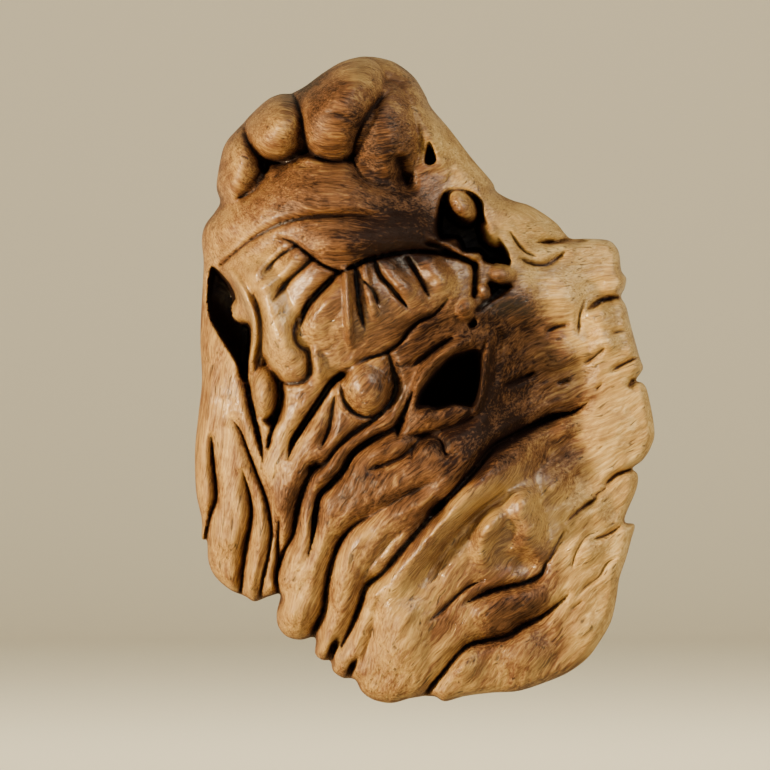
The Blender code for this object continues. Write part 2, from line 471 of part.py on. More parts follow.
def wood():
    """Oiled brown hardwood."""
    mat = bpy.data.materials.new("oiled_brown_wood")
    mat.use_nodes = True
    shader = mat.node_tree.nodes["Principled BSDF"]
    shader.inputs["Base Color"].default_value = (0.26, 0.13, 0.055, 1)
    shader.inputs["Roughness"].default_value = 0.42
    shader.inputs["Metallic"].default_value = 0.0
    return mat


build().data.materials.append(wood())
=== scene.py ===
"""Carved wall sculpture: one block of hardwood in high relief, oiled, waxed and rubbed by hand.

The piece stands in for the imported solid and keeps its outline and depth. Lengths in the tables are units:
388 over the height of the piece and 109 over its depth, about a millimetre each at its real size.
"""
import bpy
import numpy as np
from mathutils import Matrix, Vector, noise
from mathutils.geometry import delaunay_2d_cdt


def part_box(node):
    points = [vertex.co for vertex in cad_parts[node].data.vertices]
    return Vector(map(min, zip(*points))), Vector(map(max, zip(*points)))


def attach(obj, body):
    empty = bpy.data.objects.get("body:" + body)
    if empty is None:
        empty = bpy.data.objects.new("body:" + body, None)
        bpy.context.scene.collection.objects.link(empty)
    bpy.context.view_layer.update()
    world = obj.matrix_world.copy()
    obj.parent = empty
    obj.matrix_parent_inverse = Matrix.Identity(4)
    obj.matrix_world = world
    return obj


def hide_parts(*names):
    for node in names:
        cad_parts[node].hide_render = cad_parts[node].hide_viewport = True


bl_info = {
    "name": "Carved wall sculpture",
    "version": (1, 0, 0),
    "blender": (4, 5, 0),
    "location": "3D View > Sidebar > Sculpture",
    "description": "Builds a hardwood relief carving and the studio around it",
    "category": "Object",
}

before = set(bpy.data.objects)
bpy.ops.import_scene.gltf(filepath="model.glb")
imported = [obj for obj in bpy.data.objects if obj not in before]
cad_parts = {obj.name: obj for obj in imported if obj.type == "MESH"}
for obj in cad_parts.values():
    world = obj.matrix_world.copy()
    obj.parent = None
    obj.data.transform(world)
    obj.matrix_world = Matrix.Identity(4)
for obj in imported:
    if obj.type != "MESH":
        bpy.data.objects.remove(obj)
LOW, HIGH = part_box("sculpture")
MM = 0.001

BACK_ROUND = 14.0          # width of the rounding between the flat back and the rim
EDGE_SHARE = 0.45          # height of the rim line, as a share of the carving inside it
EDGE_TOP = 60.0            # carving height beyond which the rim line rises no more
DEEPEST = 11.0             # lowest that a cut or pocket goes
LEAST = 6.0                # least wood left behind the carving, but for the rim
LIP_NARROW = 6.0           # rounding of the front edge where the carving is low
LIP_GROWTH = 0.25          # extra rounding for each unit of carving above LIP_FROM
LIP_FROM = 30.0
LIP_RANGE = 80.0           # units above LIP_FROM where the rounding stops growing
RIM_REACH = 60.0           # how far in the distance from the rim or a ring is measured
SPREAD = 40.0              # reach of one point of the broad lie
SLACK = 0.03               # how far the broad lie may pass beside its points
FADE = 0.3                 # share of a line's length over which its ends fade
CUT_BED = 1.2              # power that rounds the bed of a cut

RIDGE = (20.0, 3.2)        # length and width of the ridges along the grain
RIDGE_NOISE = (0.8, 2.1, 3)    # falloff, step in size and count of their octaves
LUMP = 9.0                 # size of the lumps that the gouge left
LUMP_NOISE = (1.0, 2.0, 3)
CALM = 3.0                 # distance from the rim over which the relief sets in
GRAIN_FROM = (145, 97)     # corner about which the fibres of the folds and cape bend
SWAY = 34.0                # size of the slow waves in the grain
SEED = 5                   # fixes the waves, which would differ in each run
RIPPLE = (9.0, 6.0)        # size of its short ripples, across and up
RIPPLE_RISE = 0.8
HEAD_SWAY = 6.0            # height of the waves over the head
HEAD_CROWN = (40, 0.004)   # place and strength of the bend in the head's fibres
HEAD_FROM = (5, 40)        # corner above which the head's fibres take over
HEAD_SLOPE = 0.9           # climb of that line to its right, and height over which they blend
HEAD_BLEND = 30.0

CELL = 0.2                 # cell of the map that keeps points apart, in point spacings
ROW_HEIGHT = 0.9           # height of one row of the grid
ROW_STEP = 1.1             # step along a row that follows a line
ROW_APART = 0.9            # least distance between the rows of one cut
CLEAR_FRONT = 0.7          # room kept around the points of the rows
CLEAR_BACK = 0.5
BACK_SPACING = 6.0
RIM_ROWS = (0.3, 0.95, 1.8)    # distances of the rows inside the rim
RIM_ROW_REACH = 9.0
RIM_ROW_TRUE = 0.8         # share of their distance that their points keep
RIM_GAP = 0.2              # room kept around rows inside the rim, along cuts and along finer lines
CUT_GAP = 0.7
FINE_GAP = 0.6

FIELD = 0.462              # width of the picture at the piece, in metres
SENSOR = 36.0              # width of the sensor, in millimetres
MIDDLE = Vector((-0.024, -0.045, -0.003))   # what the lamps and the camera aim at
PICTURE_DEPTH = -0.02      # depth at which the picture is FIELD wide
SWEEP_NEAR = -6.0          # floor and backdrop: front edge, start and radius of the bend, half width, top
SWEEP_FAR = 4.5
SWEEP_BEND = 1.5
SWEEP_HALF = 7.0
SWEEP_TOP = 5.0

# Lamps: name, direction, distance and width in metres, share of the key's power, colour.
LAMPS = (("backdrop_wash", (0.1, 0.42, 0.9), 2.0, 1.5, 1.9, "#FFF8E6"),
         ("key_left", (-0.78, -0.62, -0.04), 1.7, 0.18, 1.0, "#FFE2B6"),
         ("fill_upper_right", (0.62, -0.55, 0.56), 2.2, 0.9, 0.47, "#FCEBCB"),
         ("soft_top", (-0.1, -0.35, 0.93), 2.2, 1.6, 0.1, "#FFF4E2"))
BACKDROP_AIM = Vector((0, 6.0, 0.2))
ROOM_LIGHT = ((0.45, -0.75, 0.48), 0.7, 1.2, "#F3F1FF")     # direction, strength, softness and colour
AIR_LIGHT = ("#E9DFC8", 0.2)

# Outline in units, clockwise from the top bulb (x to the right, z up).
HEAD_EDGE = [(-35, 194), (-22, 192), (-14, 188), (-6, 181), (0, 171), (4, 163), (15, 150), (28, 133),
             (40, 119), (43, 113), (52, 108), (62, 105), (71, 100), (79, 94), (84, 88), (88, 85)]
CAPE_EDGE = [(98, 85), (110, 84), (115, 80), (117, 75), (118, 66), (121, 61), (120, 55), (118, 50), (121, 44),
             (124, 32), (129, 14), (131, 7), (127, 0), (131, -2), (134, -8), (138, -30), (136, -40), (131, -48),
             (125, -53), (128, -57), (127, -66), (120, -84), (126, -87), (124, -96), (121, -107), (117, -119),
             (115, -132), (112, -145), (106, -156), (98, -167), (86, -176), (72, -182), (56, -187), (40, -188),
             (24, -190), (12, -193), (5, -190)]
FOLD_EDGE = [(-8, -191), (-20, -194), (-31, -192), (-38, -187), (-42, -180), (-49, -179), (-55, -175), (-57, -169),
             (-62, -168), (-66, -164), (-66, -155), (-75, -156), (-83, -154), (-88, -148), (-89, -140), (-87, -129),
             (-94, -130), (-102, -133), (-108, -130), (-117, -126), (-126, -118), (-130, -109), (-131, -97),
             (-134, -95), (-134, -84), (-137, -70), (-138, -58), (-138, -40), (-136, -20)]
LEFT_EDGE = [(-134, 0), (-135, 25), (-134, 50), (-133, 70), (-134, 84), (-132, 93), (-126, 101), (-123, 107),
             (-125, 116), (-123, 130), (-120, 141), (-113, 150), (-97, 166), (-88, 171), (-80, 172), (-72, 176),
             (-61, 184), (-49, 191)]

# Broad lie of the carving: x, z and height above the wall.
HEAD_LIE = [(-90, 150, 52), (-50, 165, 60), (-20, 175, 54), (5, 148, 58), (-112, 125, 44), (-112, 98, 62),
            (-78, 112, 88), (-45, 112, 88), (-20, 112, 78), (0, 114, 64), (-102, 80, 74), (-80, 88, 90),
            (-60, 86, 98), (-40, 85, 96), (-5, 88, 82), (14, 88, 72), (-60, 45, 92), (-30, 48, 92),
            (0, 50, 80), (22, 58, 72), (-92, 45, 80), (-78, 10, 76)]
MIDDLE_LIE = [(-40, 8, 80), (-40, -12, 70), (-12, 8, 74), (10, 22, 74), (-129, 60, 30), (-124, 10, 38),
              (-122, -30, 42), (25, 128, 58), (60, 92, 50), (40, 104, 56), (50, 60, 62), (60, 25, 36),
              (62, -10, 28), (36, 5, 62), (10, -28, 66), (45, 42, 58)]
LOWER_LIE = [(95, 60, 34), (84, 22, 38), (105, 15, 32), (118, -30, 24), (62, -55, 42), (80, -95, 34), (40, -88, 46),
             (0, -112, 50), (52, -138, 34), (95, -135, 24), (-20, -150, 46), (-20, -178, 38), (40, -172, 28),
             (80, -160, 22), (30, -40, 70), (0, -55, 76), (-35, -68, 70), (-75, -45, 66), (-100, -60, 54),
             (-120, -90, 40), (-92, -90, 50), (-78, -125, 50), (-58, -140, 44), (-50, -165, 36), (-102, -122, 38)]

# Rounded bodies: centre x, z, half widths, tilt in degrees, foot height, rise.
BULBS = [(-110, 128, 20, 29, -16, 22, 52), (-87, 150, 22, 24, -6, 38, 54),
         (-52, 160, 31, 39, -22, 38, 66), (-25, 145, 23, 35, 6, 48, 41), (-2, 152, 18, 34, 22, 30, 38)]
BEADS = [(-108.5, 42, 7.5, 8.5, 0, 40, 20), (-96, -7, 9.5, 18, -4, 42, 26), (-35.5, -3, 16, 18.5, 8, 58, 27),
         (0, -22, 12, 7, -10, 54, 18), (3, -43, 7.5, 9, 0, 56, 18), (21, 104, 9.5, 14, 36, 36, 32),
         (40, 88, 8, 11, 28, 30, 32), (44, 63, 11.5, 7, -8, 46, 26), (34.5, 53, 5, 8, 20, 52, 22),
         (23, 43, 8, 9, -20, 60, 20)]

# Swells: half width, rise, share of the rise at the first and last point, centre line.
SWELLS = [
    (16, 8, 0.2, 0.3, [(-10, 182), (0, 160), (4, 140), (4, 122)]),
    (20, 6, 0.5, 0.2, [(-126, 84), (-108, 96), (-84, 106), (-55, 109), (-30, 108), (-10, 102)]),
    (15, 8, 0.1, 0.3, [(-78, 86), (-50, 82), (-20, 86), (8, 88)]),
    (26, 8, 0.6, 0.3, [(-62, 40), (-30, 42), (0, 50), (20, 58)]),
    (3.4, 9, 0.8, 0.2, [(-47.5, 65), (-46, 45), (-44.5, 20)]),
    (4, 5, 0.7, 0.2, [(-36, 68), (-34.5, 56), (-32, 46), (-29, 36)]),
    (8, 6, 0.5, 0.3, [(-26, 69), (-19, 62), (-12, 55), (-6, 50)]),
    (9, 7, 0.5, 0.3, [(0, 70), (8, 62), (13, 54)]),
    (10, 4, 0.6, 0.3, [(-55, 50), (-62, 42), (-66, 32), (-62, 24)]),
    (6, 5, 0.5, 0.5, [(-88, 76), (-96, 68), (-102, 62)]),
    (6, 5, 0.5, 0.5, [(-76, 72), (-86, 62), (-95, 55)]),
    (3.2, 9, 0.3, 0.6, [(2, 86), (12, 81), (20, 76.5), (30, 73.5)]),
    (17, 19, 0.4, 0.6, [(-110, 70), (-99, 52), (-92, 34), (-85, 18), (-80, 8)]),
    (5, 7, 0.4, 0.5, [(-66, 16), (-64, 8), (-62, 0)]),
    (2, 4, 0.4, 0.4, [(-52, 3), (-51.5, -8), (-48, -17), (-41, -22.5), (-33, -24), (-25, -20), (-21, -12)]),
    (3.6, 9, 0.4, 0.4, [(-119, 68), (-111, 58), (-106, 48), (-102, 38), (-101, 28), (-102.5, 16), (-104, 6)]),
    (5, 8, 0.4, 0.2, [(26, 24), (12, 17), (2, 8), (-6, -6), (-12, -22)]),
    (3.4, 12, 0.4, 0.3, [(38, 24), (35.5, 8), (33.5, -8), (30, -20)]),
    (15, 12, 0.3, 0.2, [(74, -34), (45, -54), (22, -74), (2, -94), (-14, -112), (-26, -128)]),
    (13, 9, 0.2, 0.2, [(70, -66), (52, -76), (40, -86), (30, -98)]),
    (13, 11, 0.2, 0.5, [(58, -64), (59, -77), (62, -89), (65, -100)]),
    (9, 8, 0.2, 0.3, [(45, -76), (38, -86), (34, -98), (35, -112)]),
    (12, 6, 0.3, 0.3, [(74, -130), (50, -134), (28, -142)]),
    (20, 6, 0.2, 0.4, [(-16, -130), (-14, -150), (-14, -176)])]

# Pockets: floor height, width of the wall, ring.
POCKETS = [
    (48, 5, [(-99, 132), (-93, 130), (-92, 125), (-96, 122), (-99, 126)]),
    (22, 3, [(2, 141), (6, 133), (5, 129), (0, 129)]),
    (10, 3, [(-127.5, 68), (-119, 61), (-114, 53), (-112, 44), (-109, 36), (-104, 33), (-103.5, 24), (-105, 12),
             (-106, 3), (-109, 0), (-113, 11), (-121, 24), (-128, 36), (-130.5, 47), (-130, 58)]),
    (34, 8, [(-97, 17), (-90, 8), (-84, 0), (-82, -10), (-84, -23), (-91, -29), (-99, -24), (-102, -10),
             (-100, 4)]),
    (12, 4, [(14, 13), (23, 16.5), (31, 17.5), (33.5, 8), (32.5, -6), (29, -15), (18, -15), (6, -18), (-5, -17.5),
             (-4, -9), (3, 1)]),
    (46, 7, [(43, 32), (48, 26), (47, 12), (43, -4), (40, -4), (40, 12), (41, 24)]),
    (14, 4, [(24, 113), (33, 107), (35, 98), (38, 91), (44, 84), (49, 76), (50, 68.5), (36, 69.5), (32, 75), (22, 76),
             (18, 83), (9, 82.5), (6, 88), (7, 98), (11, 111)]),
    (38, 4, [(38, 59), (49, 56), (43, 50.5), (37, 47)]),
    (50, 4, [(29, 37), (31, 33), (27, 30), (25, 33)]),
    (37, 9, [(46, -103), (57, -100), (68, -105), (73, -112), (67, -119), (57, -122), (47, -121), (42, -112)])]

PIT_FLOOR = 25             # pockets with a floor below this are painted black, as shade deep in them

# Cuts: half width and depth of the core, half width and sink of the shoulders,
# share of the cut at the first and last point, centre line.
HEAD_CUTS = [
    (1.5, 5, 5, 5, 0.2, 0.8, [(-108, 152), (-106.5, 144), (-103, 137), (-98, 131)]),
    (1.4, 6, 6, 6, 0.8, 0.9, [(-80, 172), (-76, 164), (-73.5, 155), (-72.5, 147), (-70.5, 137)]),
    (1.2, 4, 5, 6, 0, 0.8, [(-20, 173), (-28, 165), (-34, 157), (-38.5, 149), (-41.5, 141), (-43.5, 132)]),
    (1.2, 2, 7, 5, 0.9, 0, [(-96, 121), (-101, 114), (-107, 110), (-114, 108)]),
    (1.6, 7, 6, 7, 0.8, 0.9, [(-95, 130), (-84, 129.5), (-76, 133), (-70, 136)]),
    (1.3, 4, 5, 4, 0.8, 0.9, [(-70, 136), (-62, 131.5), (-52, 129.5), (-43, 131)]),
    (1.0, 1, 7, 4, 0.8, 0.4, [(-43, 131), (-39, 121), (-30, 115), (-17, 112)]),
    (4, 0, 9, 13, 0.1, 0.6, [(-17, 134), (-14, 125), (-11, 115)]),
    (1.5, 6, 5, 4, 0.9, 0, [(-122, 69), (-113, 76), (-106, 81.5), (-96, 87.5), (-84, 93), (-70, 96), (-55, 97),
     (-38, 97), (-22, 95)]),
    (1.1, 5, 3.2, 3, 0.9, 0, [(-77, 79), (-84, 75), (-91, 69), (-97, 62)]),
    (1.3, 8, 4, 4, 0.8, 0, [(-67, 71.5), (-73, 66), (-80, 60), (-86, 53), (-91, 46)]),
    (2.2, 14, 8, 9, 0.5, 0.1, [(-53, 62), (-58, 57), (-65, 50), (-71, 42), (-74, 32)]),
    (1.1, 6, 3.2, 3, 0.9, 0.2, [(-51, 64), (-60, 67.5), (-69, 74), (-78, 81), (-88, 85)]),
    (1.4, 4, 6, 7, 0.3, 0.4, [(-75, 38), (-78, 29), (-76, 21), (-70, 17)]),
    (1.5, 9, 3.5, 4, 0.8, 0.1, [(-41.5, 66), (-40.5, 54), (-39, 42), (-36, 30)]),
    (1.3, 8, 3.2, 4, 0.9, 0, [(-30, 70), (-27, 62), (-21, 55.5), (-15, 48), (-10, 42)]),
    (1.2, 8, 3.2, 4, 0.9, 0.1, [(-10.5, 72), (-6, 64), (-2, 57), (2, 49)]),
    (1.2, 5, 3, 3, 0.9, 0.1, [(-36, 58), (-31, 52), (-28, 44)]),
    (1.8, 12, 4, 5, 0.8, 0.4, [(29, 69), (29.5, 60), (28.5, 48)]),
    (1.7, 22, 4, 4, 0.4, 0.7, [(-52, 63), (-43, 67), (-34, 71), (-24, 73.5), (-10, 76), (4, 76), (18, 74),
     (30, 68)]),
    (1.2, 8, 3, 3, 0.2, 0.6, [(0, 81), (9, 79), (18, 74)]),
    (1.2, 10, 4, 4, 0.3, 0.9, [(13, 48), (5, 38.5), (-3, 35), (-10, 29), (-15, 22), (-24, 16), (-36, 12), (-46, 5),
     (-54, -1)]),
    (1.4, 7, 5, 7, 0.3, 0.3, [(-90, 4), (-86, -1), (-79, -2), (-71, 0), (-68.5, 8), (-70, 18)]),
    (1.2, 4, 6.5, 8, 0.1, 0.3, [(-104, 56), (-100, 46), (-98, 36), (-97.5, 24), (-99, 12), (-102, 4)])]
CAPE_CUTS = [
    (2.3, 17, 8, 9, 0, 0.9, [(100, -11), (90, -19), (78, -22), (66, -27), (52, -34), (40, -41), (30, -53),
     (18, -66), (6, -78)]),
    (1.7, 11, 9, 14, 0.8, 0.4, [(8, -76), (-4, -90), (-16, -104), (-26, -116), (-35, -123), (-39, -134),
     (-44, -147), (-50, -159)]),
    (2, 0, 12, 9, 0.2, 0.1, [(50, -68), (36, -77), (24, -87), (14, -98), (6, -110), (-3, -124)]),
    (1.6, 10, 6, 6, 0.4, 0.1, [(73, -108), (69, -117), (60, -121.5), (49, -124), (38, -127), (23, -134)]),
    (1.6, 10, 8, 9, 0, 1.2, [(89, -126), (80, -134), (70, -142), (58, -148), (50, -153.5), (38, -156),
     (27, -158.5), (19, -165), (11, -175), (2, -186), (-4, -197)]),
    (1.2, 6, 4, 3, 0.2, 0.1, [(35, -120), (26, -123.5), (18, -130), (10, -138), (2, -144)]),
    (1, 0, 8, 5, 0.2, 0.2, [(-28, -128), (-30, -142), (-34, -158), (-38, -172)])]
FOLD_CUTS = [
    (2.6, 18, 8, 9, 0.8, 0, [(-50, 3), (-56, -2), (-62, -11), (-68, -20), (-74, -29), (-79, -37), (-82, -48)]),
    (2, 12, 7, 9, 1, 0, [(-108, 5), (-106, -4), (-104, -14), (-101.5, -25), (-99, -36), (-96.5, -50)]),
    (1.5, 10, 5, 6, 0.9, 0, [(-89, -24), (-92, -32), (-94, -42)]),
    (1, 3, 2.5, 2.5, 0.3, 0.6, [(-51, -2), (-49, -12), (-43, -19.5), (-34, -22.5), (-26, -20)]),
    (1.5, 9, 6, 7, 0.5, 0.8, [(-22, 16), (-19, 5), (-17.5, -4), (-20, -12), (-26, -20), (-35, -26.5), (-45, -33.5),
     (-54, -42), (-60, -50), (-68, -53)]),
    (1.4, 10, 5, 5, 0.3, 0.2, [(16, 25), (8, 20), (0, 14), (-8, 8)]),
    (1.6, 9, 6, 7, 0.2, 0, [(-7, -6), (-12, -18), (-15.5, -27), (-16.5, -35)]),
    (1.4, 3, 7, 7, 0.2, 0.2, [(-14, -33), (-2, -33), (10, -30), (24, -25), (34, -18)]),
    (1.2, 2, 6, 5, 0.2, 0, [(-8, -50), (-7, -40), (1, -33), (9, -36), (12, -44), (20, -44)]),
    (2.0, 3, 8, 6, 0.6, 0, [(-8, -40), (-14, -46), (-23, -50), (-36, -54)]),
    (1.4, 10, 4, 5, 0.8, 0.2, [(50, 56), (42, 50), (35, 45), (29, 40)]),
    (1.6, 9, 6, 9, 0, 0.9, [(-128, -30), (-127, -48), (-125.5, -62), (-125.5, -72), (-129, -82), (-132, -98)]),
    (1.4, 8, 8, 12, 0, 1, [(-110, -52), (-106, -65), (-104, -76), (-104.5, -86), (-107, -98), (-109, -112),
     (-111, -132)]),
    (1.3, 7, 7, 9, 0.3, 1, [(-115, -24), (-110, -31), (-106, -42), (-101, -55), (-96, -68), (-93, -80),
     (-92, -92), (-94, -106), (-97, -118), (-100, -136)]),
    (1.4, 8, 5, 8, 0.2, 1, [(-87, -82), (-88, -95), (-88, -108), (-89, -118), (-87, -132)]),
    (1.6, 9, 9, 13, 0.5, 0.3, [(-65, -50), (-70, -59), (-74, -69), (-77, -81), (-79, -92), (-84, -102),
     (-88, -113), (-90, -122)]),
    (1.4, 5, 6, 6, 0.5, 0, [(-54, -10), (-56, -22), (-58, -31), (-63, -42)]),
    (2.0, 13, 8, 11, 0.3, 0.1, [(-13, -24), (-20, -30), (-32, -36), (-43, -44), (-49, -54), (-57, -63),
     (-63, -69), (-65.5, -80), (-67, -92), (-70, -106)]),
    (1.6, 1, 9, 7, 0.2, 0.6, [(6, -60), (-12, -69), (-26, -77), (-38, -84)]),
    (1.7, 9, 10, 14, 0.3, 1, [(-34, -81), (-44, -88), (-51, -97), (-56, -109), (-59, -123), (-61, -138),
     (-66, -149), (-71, -161)]),
    (1.2, 1, 7, 5, 0.2, 0.3, [(-10, -86), (-24, -100), (-35, -114), (-42, -128)]),
    (3, 12, 5, 6, 0.3, 1, [(-53, -155), (-56, -163), (-58, -173)]),
    (2.6, 10, 5, 6, 0.3, 1, [(-41, -167), (-45, -175), (-47, -184)])]

# Fissures in the skin: half width, depth, line.
FISSURES = [
    (1, 5, [(50, 89), (55, 81), (60, 76), (67, 73.5)]),
    (1.6, 9, [(56, 74), (61, 70), (71, 68.5), (78, 72), (84, 77)]),
    (1.8, 12, [(65, 82), (76, 82.5), (88, 83.5), (99, 83)]), (1.2, 7, [(72, 28), (78, 31.5), (88, 33.5)]),
    (1.3, 5, [(96, 50), (92.5, 39), (91.5, 26)]), (2, 12, [(96, 41), (104, 46.5), (111, 49), (120, 50)]),
    (1.1, 4, [(111, 27), (117, 29), (124, 29)]), (1.1, 6, [(95, 10), (101, 13.5), (108, 20)]),
    (1.3, 8, [(111, 5), (119, 9.5), (129, 14)]), (2.2, 8, [(122, -5), (126, 1)]), (1, 4, [(79, -2), (87, 0)]),
    (1.4, 8, [(46, -3.5), (55, -0.5), (66, 5)]), (1, 3, [(102, -6), (107, -2)]),
    (1.5, 10, [(107, -64), (115, -57), (126, -53)]), (1.4, 9, [(84, -86), (92, -78.5), (104, -70)]),
    (0.9, 4, [(99, -71), (110, -64)]), (1.2, 5, [(84, -89), (78, -100), (73, -110)]),
    (1.2, 6, [(118, -87), (110, -92.5), (99, -96)]), (1, 4, [(104, -91), (96, -94), (90, -104), (88, -113)]),
    (1.1, 5, [(116, -106), (109, -110), (104, -118), (96, -124), (90, -131)]),
    (0.9, 3, [(95, -132), (87, -138)])]
FISSURE_LIP = 3.2          # shoulder of a fissure, as a share of its own half width
FISSURE_SHARE = 0.6        # share of its depth in the core, and again in the shoulders
FISSURE_END = 0.1          # share of it left at its ends

# Low mounds and dips in the skin: centre x, z, radius, rise.
MOUNDS = [(54, -92, 20, 6), (47, -92, 8, -1), (63, -84, 13, 4), (60, -110, 12, -6), (104, 38, 14, 6),
          (114, 62, 12, 3), (106, 22, 10, 5), (80, 14, 14, 4), (112, 22, 8, 3), (84, -26, 12, 6),
          (108, -30, 22, 4), (90, -82, 12, 5), (104, -78, 14, 4), (78, -62, 14, 5), (96, -100, 16, 4),
          (60, -166, 22, 6), (24, -172, 14, 5), (96, -150, 14, 3), (60, 45, 16, 4), (84, 50, 18, 5),
          (-120, 92, 12, 4), (-126, 20, 10, 3), (-120, -96, 14, 4), (-102, -118, 10, 3), (-78, -140, 14, 5),
          (-60, -158, 8, 3), (98, 30, 9, -4), (100, 52, 12, -3), (112, 44, 8, -3), (92, 4, 14, -4),
          (72, -44, 14, -4), (96, -60, 14, -3), (112, -78, 10, -3), (70, -150, 10, -2)]

# How well each place is rubbed: x, z, 0 for matt to 1 for polished.
POLISH = [(-92, 45, 1), (-85, 70, 0.9), (-80, 15, 0.8), (-46, 48, 1), (-15, 60, 1), (15, 62, 1), (44, 62, 1),
          (22, 106, 0.9), (52, 58, 0.9), (60, -85, 1.1), (36, -86, 0.9), (90, 18, 0.7), (104, 36, 0.8),
          (108, 62, 0.6), (-35, -3, 0.8), (-96, -5, 0.6), (-10, -112, 0.7), (-14, 144, 0.45), (-32, 140, 0.1),
          (-90, 150, 0.4), (-55, 160, 0.3), (-40, 112, 0.2), (-30, 88, 0.15), (-60, 84, 0.15), (-5, 88, 0.15),
          (-125, 80, 0.4), (-100, -90, 0.15), (-60, -60, 0.3), (-75, -120, 0.1), (-20, -60, 0.3),
          (-20, -165, 0.15), (40, -150, 0.3), (100, -130, 0.1), (100, -70, 0.2), (110, -20, 0.2), (60, 5, 0.15),
          (8, 30, 0), (26, 24, 0), (44, 20, 0.05), (14, -2, 0), (30, -28, 0.1), (30, 130, 0.1), (60, 95, 0.1),
          (-130, 20, 0.1), (-125, -50, 0.1)]

# How dark each place is painted: x, z, 0 for bare tan to 1 for dark brown. Mostly old wax; the darkest spots also
# paint shade, on the lens below the brow and around the right socket, where the head casts its shadow.
WAX_AND_SHADOW = [(-112, 125, 0.5), (-90, 150, 0.5), (-54, 165, 0.9), (-40, 185, 0.3), (-15, 165, 0.7), (-30, 142, 1.2),
         (-20, 150, 0.9), (-60, 135, 0.7), (15, 145, 0.1), (10, 160, 0.1), (30, 125, 0.05), (-120, 90, 0.45),
         (-85, 108, 0.8), (-40, 112, 0.85), (-60, 118, 0.9), (-15, 105, 1.0), (0, 115, 0.75), (-64, 84, 0.75),
         # the lens spots on the row below, (-44, 86) to (-2, 88), are darker than wax alone, as painted shade under
         # the brow
         (-44, 86, 1.05), (-22, 86, 1.55), (-2, 88, 1.5), (10, 90, 1.0), (-92, 82, 0.45), (-95, 60, 0.3),
         (-85, 35, 0.25), (-55, 45, 0.65), (-20, 50, 0.7), (15, 55, 0.5), (35, 105, 0.4), (60, 92, 0.05),
         # on the row below and the three after it, the dark spots (62, 12), (46, 36), (22, -24), (42, -30), (66, -8),
         # (46, 4), (0, -25) and (20, -40) around the right socket are painted shadow that the head casts
         (80, 60, 0.08), (100, 70, 0.05), (110, 20, 0.08), (62, 12, 0.82), (5, 32, 0.95), (25, 24, 1.0),
         (-10, 10, 0.95), (46, 36, 1.05), (-30, 26, 0.75), (22, -24, 1.35), (42, -30, 1.2), (66, -8, 1.0),
         (46, 4, 1.2), (84, -5, 0.6), (118, -30, 0.05), (-35, -3, 0.7), (-60, 0, 0.45), (0, -25, 0.9),
         (20, -40, 1.15), (-130, 20, 0.42), (-125, -40, 0.4), (-96, -40, 0.4), (-62, -62, 0.8),
         (-72, -72, 0.85), (-20, -60, 0.9), (-40, -50, 0.9), (0, -80, 0.95), (-30, -95, 0.5), (-100, -90, 0.42),
         (-120, -110, 0.38), (-75, -110, 0.42), (-75, -140, 0.4), (-45, -120, 0.42), (20, -85, 0.25),
         (10, -110, 0.45), (16, -100, 0.55), (-20, -135, 0.25), (-20, -170, 0.45), (60, -75, 0.3),
         (60, -105, 0.7), (70, -45, 0.7), (90, -90, 0.15), (110, -100, 0.08), (50, -140, 0.95), (30, -142, 0.7),
         (20, -145, 0.6), (70, -165, 0.5), (20, -175, 0.4), (100, -140, 0.15)]
SPOT_REACH = 15.0          # reach of one spot of wax, painted shadow or polish
ELSEWHERE = 1e-6           # weight of every spot far from all of them

LOOK_PITCH = 1.2           # grid on which the hollows are found
LOOK_TURNS = 12            # directions in which each place looks out
LOOK_FAR = (1.5, 3, 5, 8, 13, 20, 30)
PIT_TOP = 30.0             # height over a pocket's floor at which the painted shade on its wall starts to turn black
PIT_BLEND = 15.0


def rgb(code):
    """Linear colour of a hex sRGB code."""
    values = [int(code[i:i + 2], 16) / 255 for i in (1, 3, 5)]
    return (*(v / 12.92 if v <= 0.04045 else ((v + 0.055) / 1.055) ** 2.4 for v in values), 1)


def curve(points, closed=False, step=3.0):
    """Points along a smooth curve through the given ones, about step apart."""
    p = np.asarray(points, float)
    n = len(p)
    out = []
    for i in range(n if closed else n - 1):
        a, b, c, d = (p[(i + k) % n] if closed else p[min(max(i + k, 0), n - 1)] for k in (-1, 0, 1, 2))
        m = max(1, int(np.ceil(np.hypot(*(c - b)) / step)))
        t = (np.arange(m) / m)[:, None]
        out.append(0.5 * (2 * b + (c - a) * t + (2 * a - 5 * b + 4 * c - d) * t ** 2
                          + (3 * b - a - 3 * c + d) * t ** 3))
    if not closed:
        out.append(p[-1:])
    return np.concatenate(out)


def shifted(line, away, closed=False):
    """The line moved sideways, to its left for a positive distance."""
    ahead = np.roll(line, -1, axis=0) - np.roll(line, 1, axis=0)
    if not closed:
        ahead[0] = line[1] - line[0]
        ahead[-1] = line[-1] - line[-2]
    ahead /= np.maximum(np.hypot(ahead[:, 0], ahead[:, 1]), 1e-9)[:, None]
    return line + away * np.column_stack([-ahead[:, 1], ahead[:, 0]])


